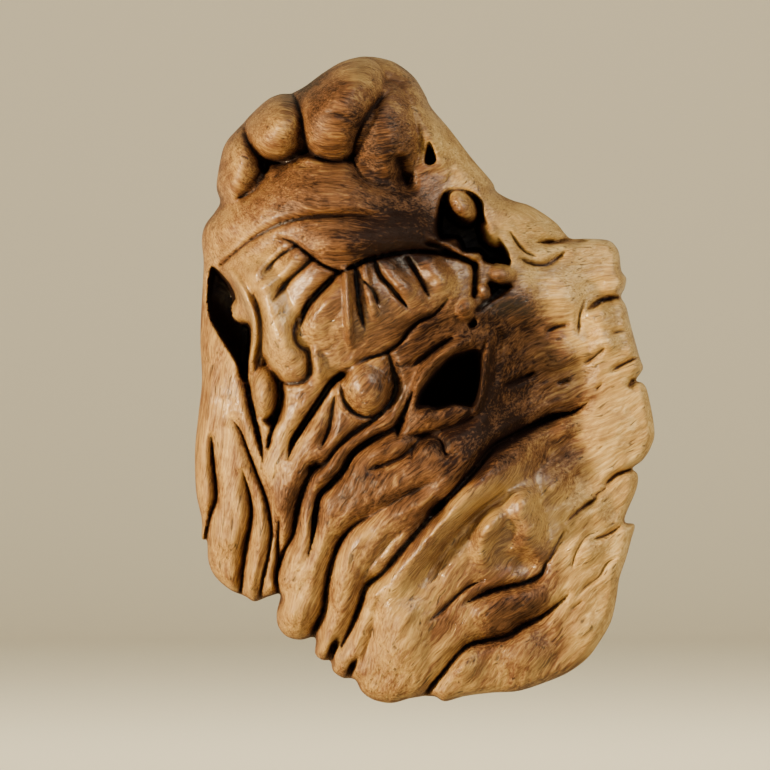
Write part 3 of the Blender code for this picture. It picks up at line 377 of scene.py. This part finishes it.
def beside(x, z, line, reach):
    """Indices of the points within reach of a line, their distance and their share of its length."""
    low = line.min(0) - reach
    high = line.max(0) + reach
    near = np.flatnonzero((x > low[0]) & (x < high[0]) & (z > low[1]) & (z < high[1]))
    best = np.full(len(near), 1e9)
    share = np.zeros(len(near))
    steps = np.diff(line, axis=0)
    lengths = np.hypot(steps[:, 0], steps[:, 1])
    run = np.concatenate([[0], np.cumsum(lengths)])
    for k in range(len(steps)):
        dx = x[near] - line[k, 0]
        dz = z[near] - line[k, 1]
        t = np.clip((dx * steps[k, 0] + dz * steps[k, 1]) / max(lengths[k] ** 2, 1e-9), 0, 1)
        away = np.hypot(dx - t * steps[k, 0], dz - t * steps[k, 1])
        closer = away < best
        best[closer] = away[closer]
        share[closer] = (run[k] + t[closer] * lengths[k]) / run[-1]
    keep = best < reach
    return near[keep], best[keep], share[keep]


def inside(x, z, ring):
    """Which points lie in a closed ring."""
    hit = np.zeros(x.shape, bool)
    for (ax, az), (bx, bz) in zip(ring, np.roll(ring, -1, axis=0)):
        if az != bz:
            hit ^= ((az > z) != (bz > z)) & (x < (bx - ax) * (z - az) / (bz - az) + ax)
    return hit


def taper(share, first, last):
    """Full strength in the middle of a line, falling to the given shares at its ends."""
    start = np.sin(np.clip(share / FADE, 0, 1) * np.pi / 2)
    end = np.sin(np.clip((1 - share) / FADE, 0, 1) * np.pi / 2)
    return (first + (1 - first) * start) * (last + (1 - last) * end)


def broad(x, z):
    """Smooth surface through the broad lie of the carving."""
    p = np.array(HEAD_LIE + MIDDLE_LIE + LOWER_LIE, float)
    middle = p[:, 2].mean()

    def reach(ax, az, bx, bz):
        return np.sqrt(1 + ((ax - bx) ** 2 + (az - bz) ** 2) / SPREAD ** 2)

    own = reach(p[:, None, 0], p[:, None, 1], p[None, :, 0], p[None, :, 1])
    weights = np.linalg.solve(own - np.eye(len(p)) * SLACK, p[:, 2] - middle)
    return middle + reach(x[:, None], z[:, None], p[None, :, 0], p[None, :, 1]) @ weights


def body(x, z, h, cx, cz, rx, rz, tilt, foot, rise, melt=2.0):
    """Ellipsoid blended onto the carving."""
    c = np.cos(np.radians(tilt))
    s = np.sin(np.radians(tilt))
    q = (((x - cx) * c + (z - cz) * s) / rx) ** 2 + (((z - cz) * c - (x - cx) * s) / rz) ** 2
    m = q < 1
    top = foot + rise * np.sqrt(1 - q[m])
    mix = np.clip(0.5 + 0.5 * (top - h[m]) / melt, 0, 1)
    h[m] += (top - h[m]) * mix + melt * mix * (1 - mix)


def swell(x, z, h, width, rise, first, last, line):
    """Soft ridge along a line."""
    at, away, share = beside(x, z, curve(line), width)
    h[at] += rise * taper(share, first, last) * (1 - (away / width) ** 2) ** 2


def cut(x, z, h, width, depth, lip, sink, first, last, line):
    """Narrow cut between rounded shoulders."""
    at, away, share = beside(x, z, curve(line), lip)
    t = taper(share, first, last)
    q = 1 - away / lip
    h[at] -= sink * np.minimum(t, 1) * (q ** 2 * (3 - 2 * q) + q ** 3) / 2
    q = np.clip(away / np.maximum(width * t, 1e-3), 0, 1)
    h[at] -= depth * np.minimum(t, 1) * (1 - q ** 2) ** CUT_BED


def pocket(x, z, h, floor, wall, ring):
    """Steep-walled hollow that ends at a floor."""
    r = curve(ring, closed=True)
    at, away, _ = beside(x, z, np.vstack([r, r[:1]]), RIM_REACH)
    deep = np.where(inside(x[at], z[at], r), away, -away)
    q = np.clip((deep + 1) / (wall + 1), 0, 1)
    q = q * q * (3 - 2 * q)
    h[at] += (np.minimum(floor, h[at]) - h[at]) * q


def carving(x, z):
    """Height of the front above the wall."""
    h = broad(x, z)
    for item in BULBS:
        body(x, z, h, *item)
    for item in SWELLS:
        swell(x, z, h, *item)
    for cx, cz, radius, rise in MOUNDS:
        q = np.clip(1 - ((x - cx) ** 2 + (z - cz) ** 2) / radius ** 2, 0, 1)
        h += rise * q ** 2
    for item in HEAD_CUTS + CAPE_CUTS:
        cut(x, z, h, *item)
    for item in POCKETS:
        pocket(x, z, h, *item)
    for item in BEADS:
        body(x, z, h, *item)
    for item in FOLD_CUTS:
        cut(x, z, h, *item)
    for width, depth, line in FISSURES:
        share = FISSURE_SHARE * depth
        cut(x, z, h, width, share, FISSURE_LIP * width, share, FISSURE_END, FISSURE_END, line)
    return h


def round_over(away, width):
    """Quarter round: 0 on the edge, 1 from width inwards."""
    q = np.clip(away / width, 0, 1)
    return np.sqrt(1 - (1 - q) ** 2)


def lay_of_grain(x, z):
    """Places along and across the fibres of the folds and cape, the same over the head, and the head's share."""
    sway = np.array([noise.noise_vector((a / SWAY, b / SWAY, 0)) for a, b in zip(x, z)])
    ripple = RIPPLE_RISE * np.array([noise.noise((a / RIPPLE[0], b / RIPPLE[1], 4)) for a, b in zip(x, z)])
    right = np.maximum(x + GRAIN_FROM[0], 2)
    down = np.maximum(GRAIN_FROM[1] - z, 2)
    folds = (0.7 * (right - down) + 6 * sway[:, 0], np.sqrt(right * down) + 4 * sway[:, 1] + ripple)
    crown, bend = HEAD_CROWN
    head = (x + HEAD_SWAY * sway[:, 0], z - bend * (x + crown) ** 2 + HEAD_SWAY * sway[:, 1] + ripple)
    side, foot = HEAD_FROM
    share = np.clip((z - foot - HEAD_SLOPE * np.maximum(x - side, 0)) / HEAD_BLEND, 0, 1)
    return folds, head, share


def surfaces(x, z, ring, relief):
    """Front and back heights above the wall; they meet on the outline."""
    away = np.full(len(x), RIM_REACH)
    at, near, _ = beside(x, z, np.vstack([ring, ring[:1]]), RIM_REACH)
    away[at] = near
    h = np.maximum(carving(x, z), DEEPEST)
    rim = EDGE_SHARE * np.minimum(h, EDGE_TOP)
    back = rim * (1 - round_over(away, BACK_ROUND))
    width = LIP_NARROW + LIP_GROWTH * np.clip(h - LIP_FROM, 0, LIP_RANGE)
    front = rim + (h - rim) * round_over(away, width)
    if relief:
        folds, head, share = lay_of_grain(x, z)
        long, wide = RIDGE
        fibre, arched = (np.array([noise.fractal((a / long, c / wide, 0.3), *RIDGE_NOISE) for a, c in zip(*way)])
                         for way in (folds, head))
        lump = np.array([noise.fractal((a / LUMP, b / LUMP, 7.0), *LUMP_NOISE) for a, b in zip(x, z)])
        front += relief * (fibre + (arched - fibre) * share + lump) * np.clip(away / CALM, 0, 1)
    front = np.maximum(front, back + np.minimum(LEAST, away))
    return front, back


def rows(ring, spacing):
    """Rows of points that follow the rim, the cuts and the pockets, so that their edges run clean."""
    found = []
    for share in RIM_ROWS:
        line = shifted(ring, -share * spacing, closed=True)
        at, away, _ = beside(line[:, 0], line[:, 1], np.vstack([ring, ring[:1]]), RIM_ROW_REACH)
        keep = np.zeros(len(line), bool)
        keep[at] = away > RIM_ROW_TRUE * share * spacing
        found.append((line[keep & inside(line[:, 0], line[:, 1], ring)], RIM_GAP))
    for width, *_, points in FOLD_CUTS + HEAD_CUTS + CAPE_CUTS:
        line = curve(points, step=ROW_STEP * spacing)
        half = max(width, ROW_APART * spacing)
        found += [(shifted(line, away), CUT_GAP) for away in (0, -half, half)]
    for width, _, points in FISSURES:
        line = curve(points, step=ROW_STEP * spacing)
        found += [(shifted(line, away), FINE_GAP) for away in (0, width, -width)]
    for *_, points in POCKETS:
        line = curve(points, closed=True, step=ROW_STEP * spacing)
        found += [(shifted(line, away, closed=True), FINE_GAP) for away in (0, 1)]
    return found


def sheet(ring, spacing, clear, lines=()):
    """Triangles over the outline: its own points first, then rows along the lines, then a grid clear of them."""
    fine = CELL * spacing
    low = ring.min(0) - 4 * spacing
    size = np.ceil((ring.max(0) + 4 * spacing - low) / fine).astype(int)
    taken = np.zeros(size, bool)
    at = np.arange(-5, 6)
    disc = np.array([(i, k) for i in at for k in at if i * i + k * k <= (clear / CELL) ** 2 + 0.1])

    def cells(points):
        return np.clip(np.round((points - low) / fine).astype(int), 6, size - 7)

    def take(points):
        spots = (cells(points)[:, None] + disc[None]).reshape(-1, 2)
        taken[spots[:, 0], spots[:, 1]] = True

    points = [ring]
    close = np.zeros(size, bool)
    for line, gap in lines:
        spot = cells(line)
        free = ~close[spot[:, 0], spot[:, 1]] & inside(line[:, 0], line[:, 1], ring)
        edge, _, _ = beside(line[:, 0], line[:, 1], np.vstack([ring, ring[:1]]), gap * spacing)
        free[edge] = False
        if gap == RIM_GAP:
            free = np.ones(len(line), bool)
        line = line[free]
        if len(line):
            near = disc[np.hypot(disc[:, 0], disc[:, 1]) * CELL <= gap]
            spots = (cells(line)[:, None] + near[None]).reshape(-1, 2)
            close[spots[:, 0], spots[:, 1]] = True
            take(line)
            points.append(line)
    xs = np.arange(ring[:, 0].min(), ring[:, 0].max(), spacing)
    zs = np.arange(ring[:, 1].min(), ring[:, 1].max(), spacing * ROW_HEIGHT)
    gx, gz = (g.ravel() for g in np.meshgrid(xs, zs))
    gx = gx + np.where(np.round((gz - zs[0]) / (ROW_HEIGHT * spacing)) % 2 > 0, spacing / 2, 0)
    take(ring)
    grid = np.column_stack([gx, gz])
    spot = cells(grid)
    keep = ~taken[spot[:, 0], spot[:, 1]] & inside(gx, gz, ring)
    points = np.vstack(points + [grid[keep]])
    loop = [(i, (i + 1) % len(ring)) for i in range(len(ring))]
    result = delaunay_2d_cdt([Vector(p) for p in points], loop, [], 1, 1e-6)
    flat = np.array([tuple(v) for v in result[0]])
    return flat, [tuple(f) for f in result[2]]


def hollows(ring, pitch=LOOK_PITCH):
    """Grid that says how far each place is shut in by what stands around it, 0 open to 1 shut; the wood is painted
    darker with it, as painted shade in the hollows and for the wax and dust that gather there.
    """
    low = ring.min(0) - 2
    nx, nz = np.ceil((ring.max(0) + 2 - low) / pitch).astype(int)
    gx, gz = np.meshgrid(low[0] + pitch * np.arange(nx), low[1] + pitch * np.arange(nz), indexing="ij")
    h = np.zeros(gx.size)
    solid = inside(gx.ravel(), gz.ravel(), ring)
    h[solid] = surfaces(gx.ravel()[solid], gz.ravel()[solid], ring, 0)[0]
    h = h.reshape(nx, nz)
    seen = np.zeros_like(h)
    i, k = np.meshgrid(np.arange(nx), np.arange(nz), indexing="ij")
    for angle in np.arange(LOOK_TURNS) * 2 * np.pi / LOOK_TURNS:
        steep = np.zeros_like(h)
        for far in LOOK_FAR:
            a = np.clip(np.round(i + far * np.cos(angle) / pitch).astype(int), 0, nx - 1)
            b = np.clip(np.round(k + far * np.sin(angle) / pitch).astype(int), 0, nz - 1)
            steep = np.maximum(steep, (h[a, b] - h) / far)
        seen += 1 / (1 + steep ** 2) / LOOK_TURNS
    return low, pitch, 1 - seen


def sampled(grid, x, z):
    """Value of a grid at the points."""
    low, pitch, values = grid
    fx = np.clip((x - low[0]) / pitch, 0, values.shape[0] - 1.001)
    fz = np.clip((z - low[1]) / pitch, 0, values.shape[1] - 1.001)
    i = fx.astype(int)
    k = fz.astype(int)
    fx -= i
    fz -= k
    return ((values[i, k] * (1 - fx) + values[i + 1, k] * fx) * (1 - fz)
            + (values[i, k + 1] * (1 - fx) + values[i + 1, k + 1] * fx) * fz)


def spread(x, z, spots):
    """Value at the points, blended from the spots around them."""
    total = np.zeros(len(x))
    weight = np.full(len(x), 1e-9)
    for cx, cz, value in spots:
        w = np.exp(-((x - cx) ** 2 + (z - cz) ** 2) / SPOT_REACH ** 2) + ELSEWHERE
        total += w * value
        weight += w
    return total / weight


def add(tree, kind, links=(), **settings):
    """Add a node with its settings, and link or set its sockets."""
    made = tree.nodes.new(kind)
    for name, value in settings.items():
        setattr(made, name, value)
    for key, value in dict(links).items():
        if isinstance(value, bpy.types.NodeSocket):
            tree.links.new(value, made.inputs[key])
        else:
            made.inputs[key].default_value = value
    return made


def oiled_hardwood(s):
    """Close-grained hardwood cut with gouges, oiled, waxed and rubbed: tan where hands and cloth have rubbed it,
    brown where old wax lies and darker still where shadow is painted on, nearly black as painted shade down in the
    shut-in cuts and pits, with a low sheen over fine fibres."""
    mat = bpy.data.materials.new("oiled_and_waxed_hardwood")
    mat.use_nodes = True
    tree = mat.node_tree
    shader = tree.nodes["Principled BSDF"]
    ways = [add(tree, "ShaderNodeAttribute", attribute_name=name).outputs["Vector"]
            for name in ("fold_grain", "head_grain")]
    head, polish, painted_hollow_shade, wax_and_shadow, bare, pit_shade = (
        add(tree, "ShaderNodeAttribute", attribute_name=name).outputs["Fac"]
        for name in ("head", "polish", "hollow_shade", "wax_and_shadow", "bare", "pit_shade"))

    def mapped(value, low, high, start=0.0, end=1.0):
        return add(tree, "ShaderNodeMapRange", {0: value, 1: low, 2: high, 3: start, 4: end}).outputs[0]

    def plus(total, value, share):
        return add(tree, "ShaderNodeMath", {0: value, 1: share, 2: total}, operation="MULTIPLY_ADD").outputs[0]

    def blend(share, first, second):
        return add(tree, "ShaderNodeMix", {0: share, 6: first, 7: second}, data_type="RGBA").outputs[2]

    def streaks(long, wide, detail, rough, twist=0.0):
        both = []
        for way in ways:
            scaled = add(tree, "ShaderNodeMapping", {"Vector": way, "Scale": (1 / long, 1 / wide, 1 / wide)})
            both.append(add(tree, "ShaderNodeTexNoise", {"Vector": scaled.outputs[0], "Scale": 1.0, "Detail": detail,
                                                         "Roughness": rough, "Distortion": twist}).outputs[0])
        return add(tree, "ShaderNodeMix", {0: head, 2: both[0], 3: both[1]}).outputs[0]

    # growth bands, fibres about twice as coarse as they are so that they show, drying checks and cloudy wear;
    # lengths and widths are in millimetres
    bands = streaks(70, s.band_width / MM, 3.0, 0.55, 0.6)
    fibres = mapped(streaks(15, s.fibre_width / MM, 3.0, 0.65), 0.3, 0.7)
    checks = mapped(streaks(20, 2.2, 2.0, 0.5, 0.3), 0.63, 0.7, 0.0, 0.7)
    blotch = add(tree, "ShaderNodeTexNoise", {"Vector": ways[1], "Scale": 1 / 17, "Detail": 4.0,
                                              "Roughness": 0.6}).outputs[0]

    # how much each of them darkens the wood, on top of the old wax and painted shadow; the shut-in hollows and the
    # pits add painted shade
    dark = wax_and_shadow
    for part, share in ((mapped(painted_hollow_shade, 0.33, 0.95), 1.1), (bands, 0.9), (blotch, 0.9), (fibres, 0.6), (pit_shade, 2.0)):
        dark = plus(dark, part, share)
    dark = mapped(dark, 0.85, 2.4)
    ramp = add(tree, "ShaderNodeValToRGB", {0: dark})
    stops = ramp.color_ramp.elements
    stops[0].position = 0.0
    stops[0].color = s.rubbed
    stops[1].position = 1.0
    stops[1].color = s.deep
    for place, colour in ((0.3, s.tan), (0.68, s.brown)):
        stops.new(place).color = colour
    wood = blend(checks, ramp.outputs[0], s.deep)
    sawn = mapped(plus(bands, fibres, 0.5), 0.4, 1.1, 0.0, 0.8)
    wood = blend(bare, wood, blend(sawn, s.rubbed, s.tan))
    tree.links.new(wood, shader.inputs["Base Color"])

    # rubbed crests shine; unpolished, worn, hollow and bare places shine less
    gloss = mapped(polish, 0.0, 1.0, s.gloss + 0.27, s.gloss)
    for part, share in ((blotch, 0.12), (fibres, 0.1), (painted_hollow_shade, 0.2), (bare, 0.15), (pit_shade, 0.3)):
        gloss = plus(gloss, part, share)
    tree.links.new(gloss, shader.inputs["Roughness"])
    tree.links.new(mapped(dark, 0.4, 1.0, 0.5, 0.15), shader.inputs["Specular IOR Level"])
    tree.links.new(mapped(polish, 0.2, 1.0, 0.0, s.wax), shader.inputs["Coat Weight"])
    shader.inputs["IOR"].default_value = 1.5
    shader.inputs["Coat Roughness"].default_value = 0.15
    shader.inputs["Coat IOR"].default_value = 1.6

    # fibres and checks stand below the surface, the worn clouds above it
    lift = 1.0
    for part, share in ((fibres, -1.0), (checks, -1.2), (blotch, 1.5)):
        lift = plus(lift, part, share)
    bump = add(tree, "ShaderNodeBump", {"Height": lift, "Strength": 1.0, "Distance": 0.26 * MM}).outputs[0]
    for name in ("Normal", "Coat Normal"):
        tree.links.new(bump, shader.inputs[name])
    return mat


def plain_paint(name, colour, rough):
    """Matt emulsion on a smooth board: an even pale tone with the faintest mottle of the roller."""
    mat = bpy.data.materials.new(name)
    mat.use_nodes = True
    tree = mat.node_tree
    shader = tree.nodes["Principled BSDF"]
    shader.inputs["Base Color"].default_value = colour
    shader.inputs["Roughness"].default_value = rough
    place = add(tree, "ShaderNodeTexCoord").outputs["Object"]
    mottle = add(tree, "ShaderNodeTexNoise", {"Vector": place, "Scale": 40.0, "Detail": 2.0}).outputs[0]
    bump = add(tree, "ShaderNodeBump", {"Height": mottle, "Strength": 0.1, "Distance": MM}).outputs[0]
    tree.links.new(bump, shader.inputs["Normal"])
    return mat


def mark_wood(mesh, ring, places, front):
    """Write on each point what its finish depends on: painted shade of the hollows and pits, wax with painted shadow,
    polish and grain.
    """
    x, y, z = places.T
    folds, head, share = lay_of_grain(x, z)
    facts = {"hollow_shade": np.where(front, sampled(hollows(ring), x, z), 0),
             "wax_and_shadow": spread(x, z, WAX_AND_SHADOW),
             "polish": np.where(front, spread(x, z, POLISH), 0),
             "head": share,
             "bare": np.where(front, 0, 1.0),
             "pit_shade": np.zeros(len(x))}
    # painted shade: pockets deep enough are painted nearly black on their floor and lower wall
    for floor, _, points in POCKETS:
        if floor < PIT_FLOOR:
            within = front & inside(x, z, curve(points, closed=True))
            facts["pit_shade"] = np.where(within, np.clip((floor + PIT_TOP - y) / PIT_BLEND, 0, 1), facts["pit_shade"])
    for name, values in facts.items():
        mesh.attributes.new(name, "FLOAT", "POINT").data.foreach_set("value", values.astype(np.float32))
    for name, way in (("fold_grain", folds), ("head_grain", head)):
        vectors = np.column_stack([*way, y]).astype(np.float32)
        mesh.attributes.new(name, "FLOAT_VECTOR", "POINT").data.foreach_set("vector", vectors.ravel())


class CarvingSettings(bpy.types.PropertyGroup):
    """Sizes of the carving."""
    height: bpy.props.FloatProperty(
        name="Height", description="From the lowest fold to the top bulb", default=HIGH.z - LOW.z,
        unit="LENGTH", subtype="DISTANCE")
    depth: bpy.props.FloatProperty(
        name="Depth", description="From the wall to the highest point of the carving", default=HIGH.y - LOW.y,
        unit="LENGTH", subtype="DISTANCE")
    spacing: bpy.props.FloatProperty(
        name="Point spacing", description="Distance between the points of the carved front",
        default=0.00112, unit="LENGTH", subtype="DISTANCE")
    relief: bpy.props.FloatProperty(
        name="Fibre relief", description="Height of the ridges that run along the grain", default=0.0007,
        unit="LENGTH", subtype="DISTANCE")


class WoodSettings(bpy.types.PropertyGroup):
    """Colours and grain of the wood."""
    rubbed: bpy.props.FloatVectorProperty(
        name="Rubbed wood", description="Wood on worn crests and on the flank", subtype="COLOR", size=4,
        default=rgb("#DFC384"))
    tan: bpy.props.FloatVectorProperty(
        name="Oiled wood", description="Open oiled surfaces", subtype="COLOR", size=4, default=rgb("#B39152"))
    brown: bpy.props.FloatVectorProperty(
        name="Waxed wood", description="Surfaces that hold old wax", subtype="COLOR", size=4,
        default=rgb("#6B4727"))
    # the darkest colour: dust and old wax in the cuts and checks, and the painted shade of the shut-in hollows and
    # pits
    deep: bpy.props.FloatVectorProperty(
        name="Deep cuts", description="Wax and dust down in the cuts", subtype="COLOR", size=4,
        default=rgb("#1D0D06"))
    band_width: bpy.props.FloatProperty(
        name="Band width", description="Distance between the growth bands", default=0.007, unit="LENGTH",
        subtype="DISTANCE")
    fibre_width: bpy.props.FloatProperty(
        name="Fibre width", description="Width of the fibre streaks", default=0.0012, unit="LENGTH",
        subtype="DISTANCE")
    gloss: bpy.props.FloatProperty(
        name="Roughness", description="Roughness of the best rubbed places", default=0.2, min=0.05, max=1)
    wax: bpy.props.FloatProperty(
        name="Wax film", description="Weight of the clear wax film on rubbed crests", default=0.75, min=0, max=1)


class StudioSettings(bpy.types.PropertyGroup):
    """Floor, lights and camera."""
    floor_level: bpy.props.FloatProperty(
        name="Floor level", description="Height of the floor", default=LOW.z - 0.1, unit="LENGTH",
        subtype="DISTANCE")
    floor_colour: bpy.props.FloatVectorProperty(
        name="Floor colour", description="Paint of the floor and backdrop", subtype="COLOR", size=4,
        default=rgb("#DFD5B6"))
    distance: bpy.props.FloatProperty(
        name="Camera distance", description="From the camera to the carving", default=5.0, unit="LENGTH",
        subtype="DISTANCE")
    key: bpy.props.FloatProperty(
        name="Key light", description="Power of the lamp on the left, in watts", default=70.0, min=0)


class SCULPTURE_OT_carve(bpy.types.Operator):
    """Carve the sculpture and finish its wood"""
    bl_idname = "sculpture.carve"
    bl_label = "Sculpture"

    def execute(self, context):
        noise.seed_set(SEED)
        size = context.scene.sculpture_size
        spacing = size.spacing / MM * 1
        ring = curve(HEAD_EDGE + CAPE_EDGE + FOLD_EDGE + LEFT_EDGE, closed=True, step=spacing)
        count = len(ring)
        flat, faces = sheet(ring, spacing, CLEAR_FRONT, rows(ring, spacing))
        back_flat, back_faces = sheet(ring, BACK_SPACING, CLEAR_BACK)
        relief = size.relief / MM
        high, rim = surfaces(flat[:, 0], flat[:, 1], ring, relief)
        high[:count] = rim[:count]
        _, low = surfaces(back_flat[:, 0], back_flat[:, 1], ring, 0)
        scale = size.height / (ring[:, 1].max() - ring[:, 1].min())
        deep = size.depth / high.max()
        places = np.vstack([np.column_stack([flat[:, 0], high, flat[:, 1]]),
                            np.column_stack([back_flat[count:, 0], low[count:], back_flat[count:, 1]])])
        lift = LOW.z - ring[:, 1].min() * scale
        verts = np.column_stack([places[:, 0] * scale, -places[:, 1] * deep, places[:, 2] * scale + lift])
        shift = len(flat) - count
        faces = faces + [tuple(i if i < count else i + shift for i in f[::-1]) for f in back_faces]
        mesh = bpy.data.meshes.new("carved_sculpture")
        mesh.from_pydata(verts.tolist(), [], faces)
        mesh.validate()
        for face in mesh.polygons:
            face.use_smooth = True
        piece = bpy.data.objects.new("carved_sculpture", mesh)
        context.scene.collection.objects.link(piece)
        if len(mesh.vertices) != len(verts):
            raise RuntimeError("the carving lost points")

        mark_wood(mesh, ring, places, np.arange(len(places)) < len(flat))
        mesh.materials.append(oiled_hardwood(context.scene.sculpture_wood))
        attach(piece, "root")
        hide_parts("sculpture")
        return {"FINISHED"}


class SCULPTURE_OT_studio(bpy.types.Operator):
    """Set up the pale floor and backdrop, the lights and the camera"""
    bl_idname = "sculpture.studio"
    bl_label = "Studio"

    def execute(self, context):
        s = context.scene.sculpture_studio
        # floor that sweeps up into a far backdrop, behind every view's camera
        profile = [(SWEEP_NEAR, 0.0), (SWEEP_FAR, 0.0)]
        profile += [(SWEEP_FAR + SWEEP_BEND * np.sin(a), SWEEP_BEND - SWEEP_BEND * np.cos(a))
                    for a in np.linspace(0.1, np.pi / 2, 12)]
        profile += [(SWEEP_FAR + SWEEP_BEND, SWEEP_TOP)]
        verts = [(x, y, z + s.floor_level) for x in (-SWEEP_HALF, SWEEP_HALF) for y, z in profile]
        n = len(profile)
        mesh = bpy.data.meshes.new("pale_sweep")
        mesh.from_pydata(verts, [], [(i, i + n, i + n + 1, i + 1) for i in range(n - 1)])
        for face in mesh.polygons:
            face.use_smooth = True
        sweep = bpy.data.objects.new("pale_sweep", mesh)
        mesh.materials.append(plain_paint("matt_emulsion", s.floor_colour, 0.9))
        context.scene.collection.objects.link(sweep)

        for name, toward, far, across, share, colour in LAMPS:
            lamp = bpy.data.lights.new(name, "AREA")
            lamp.energy = share * s.key
            lamp.size = across
            lamp.color = rgb(colour)[:3]
            obj = bpy.data.objects.new(name, lamp)
            aim = Vector(toward).normalized()
            obj.location = MIDDLE + aim * far
            if name == "backdrop_wash":
                aim = (obj.location - BACKDROP_AIM).normalized()
            obj.rotation_euler = aim.to_track_quat("Z", "Y").to_euler()
            context.scene.collection.objects.link(obj)
        sun = bpy.data.lights.new("room_light", "SUN")
        toward, sun.energy, sun.angle, colour = ROOM_LIGHT
        sun.color = rgb(colour)[:3]
        obj = bpy.data.objects.new("room_light", sun)
        obj.rotation_euler = Vector(toward).to_track_quat("Z", "Y").to_euler()
        context.scene.collection.objects.link(obj)
        world = bpy.data.worlds.new("room")
        world.use_nodes = True
        colour, strength = AIR_LIGHT
        world.node_tree.nodes["Background"].inputs["Color"].default_value = rgb(colour)
        world.node_tree.nodes["Background"].inputs["Strength"].default_value = strength
        context.scene.world = world

        camera = bpy.data.objects.new("camera", bpy.data.cameras.new("camera"))
        camera.data.sensor_width = SENSOR
        camera.data.lens = SENSOR * s.distance / FIELD
        camera.data.clip_end = 50.0
        camera.location = (MIDDLE.x, PICTURE_DEPTH - s.distance, MIDDLE.z)
        camera.rotation_euler = (np.pi / 2, 0, 0)
        context.scene.collection.objects.link(camera)
        context.scene.camera = camera
        return {"FINISHED"}


class SCULPTURE_PT_panel(bpy.types.Panel):
    """Sidebar panel of the sculpture"""
    bl_label = "Sculpture"
    bl_idname = "SCULPTURE_PT_panel"
    bl_space_type = "VIEW_3D"
    bl_region_type = "UI"
    bl_category = "Sculpture"

    def draw(self, context):
        scene = context.scene
        for settings, operator in ((scene.sculpture_size, None), (scene.sculpture_wood, SCULPTURE_OT_carve),
                                   (scene.sculpture_studio, SCULPTURE_OT_studio)):
            for name in settings.bl_rna.properties.keys():
                if name not in ("rna_type", "name"):
                    self.layout.prop(settings, name)
            if operator:
                self.layout.operator(operator.bl_idname)


CLASSES = (CarvingSettings, WoodSettings, StudioSettings, SCULPTURE_OT_carve, SCULPTURE_OT_studio,
           SCULPTURE_PT_panel)
GROUPS = {"sculpture_size": CarvingSettings, "sculpture_wood": WoodSettings, "sculpture_studio": StudioSettings}


def register():
    for item in CLASSES:
        bpy.utils.register_class(item)
    for name, group in GROUPS.items():
        setattr(bpy.types.Scene, name, bpy.props.PointerProperty(type=group))


def unregister():
    for name in GROUPS:
        delattr(bpy.types.Scene, name)
    for item in reversed(CLASSES):
        bpy.utils.unregister_class(item)


def main():
    register()
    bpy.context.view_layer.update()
    bpy.ops.sculpture.carve()
    bpy.ops.sculpture.studio()


if __name__ == "__main__":
    main()
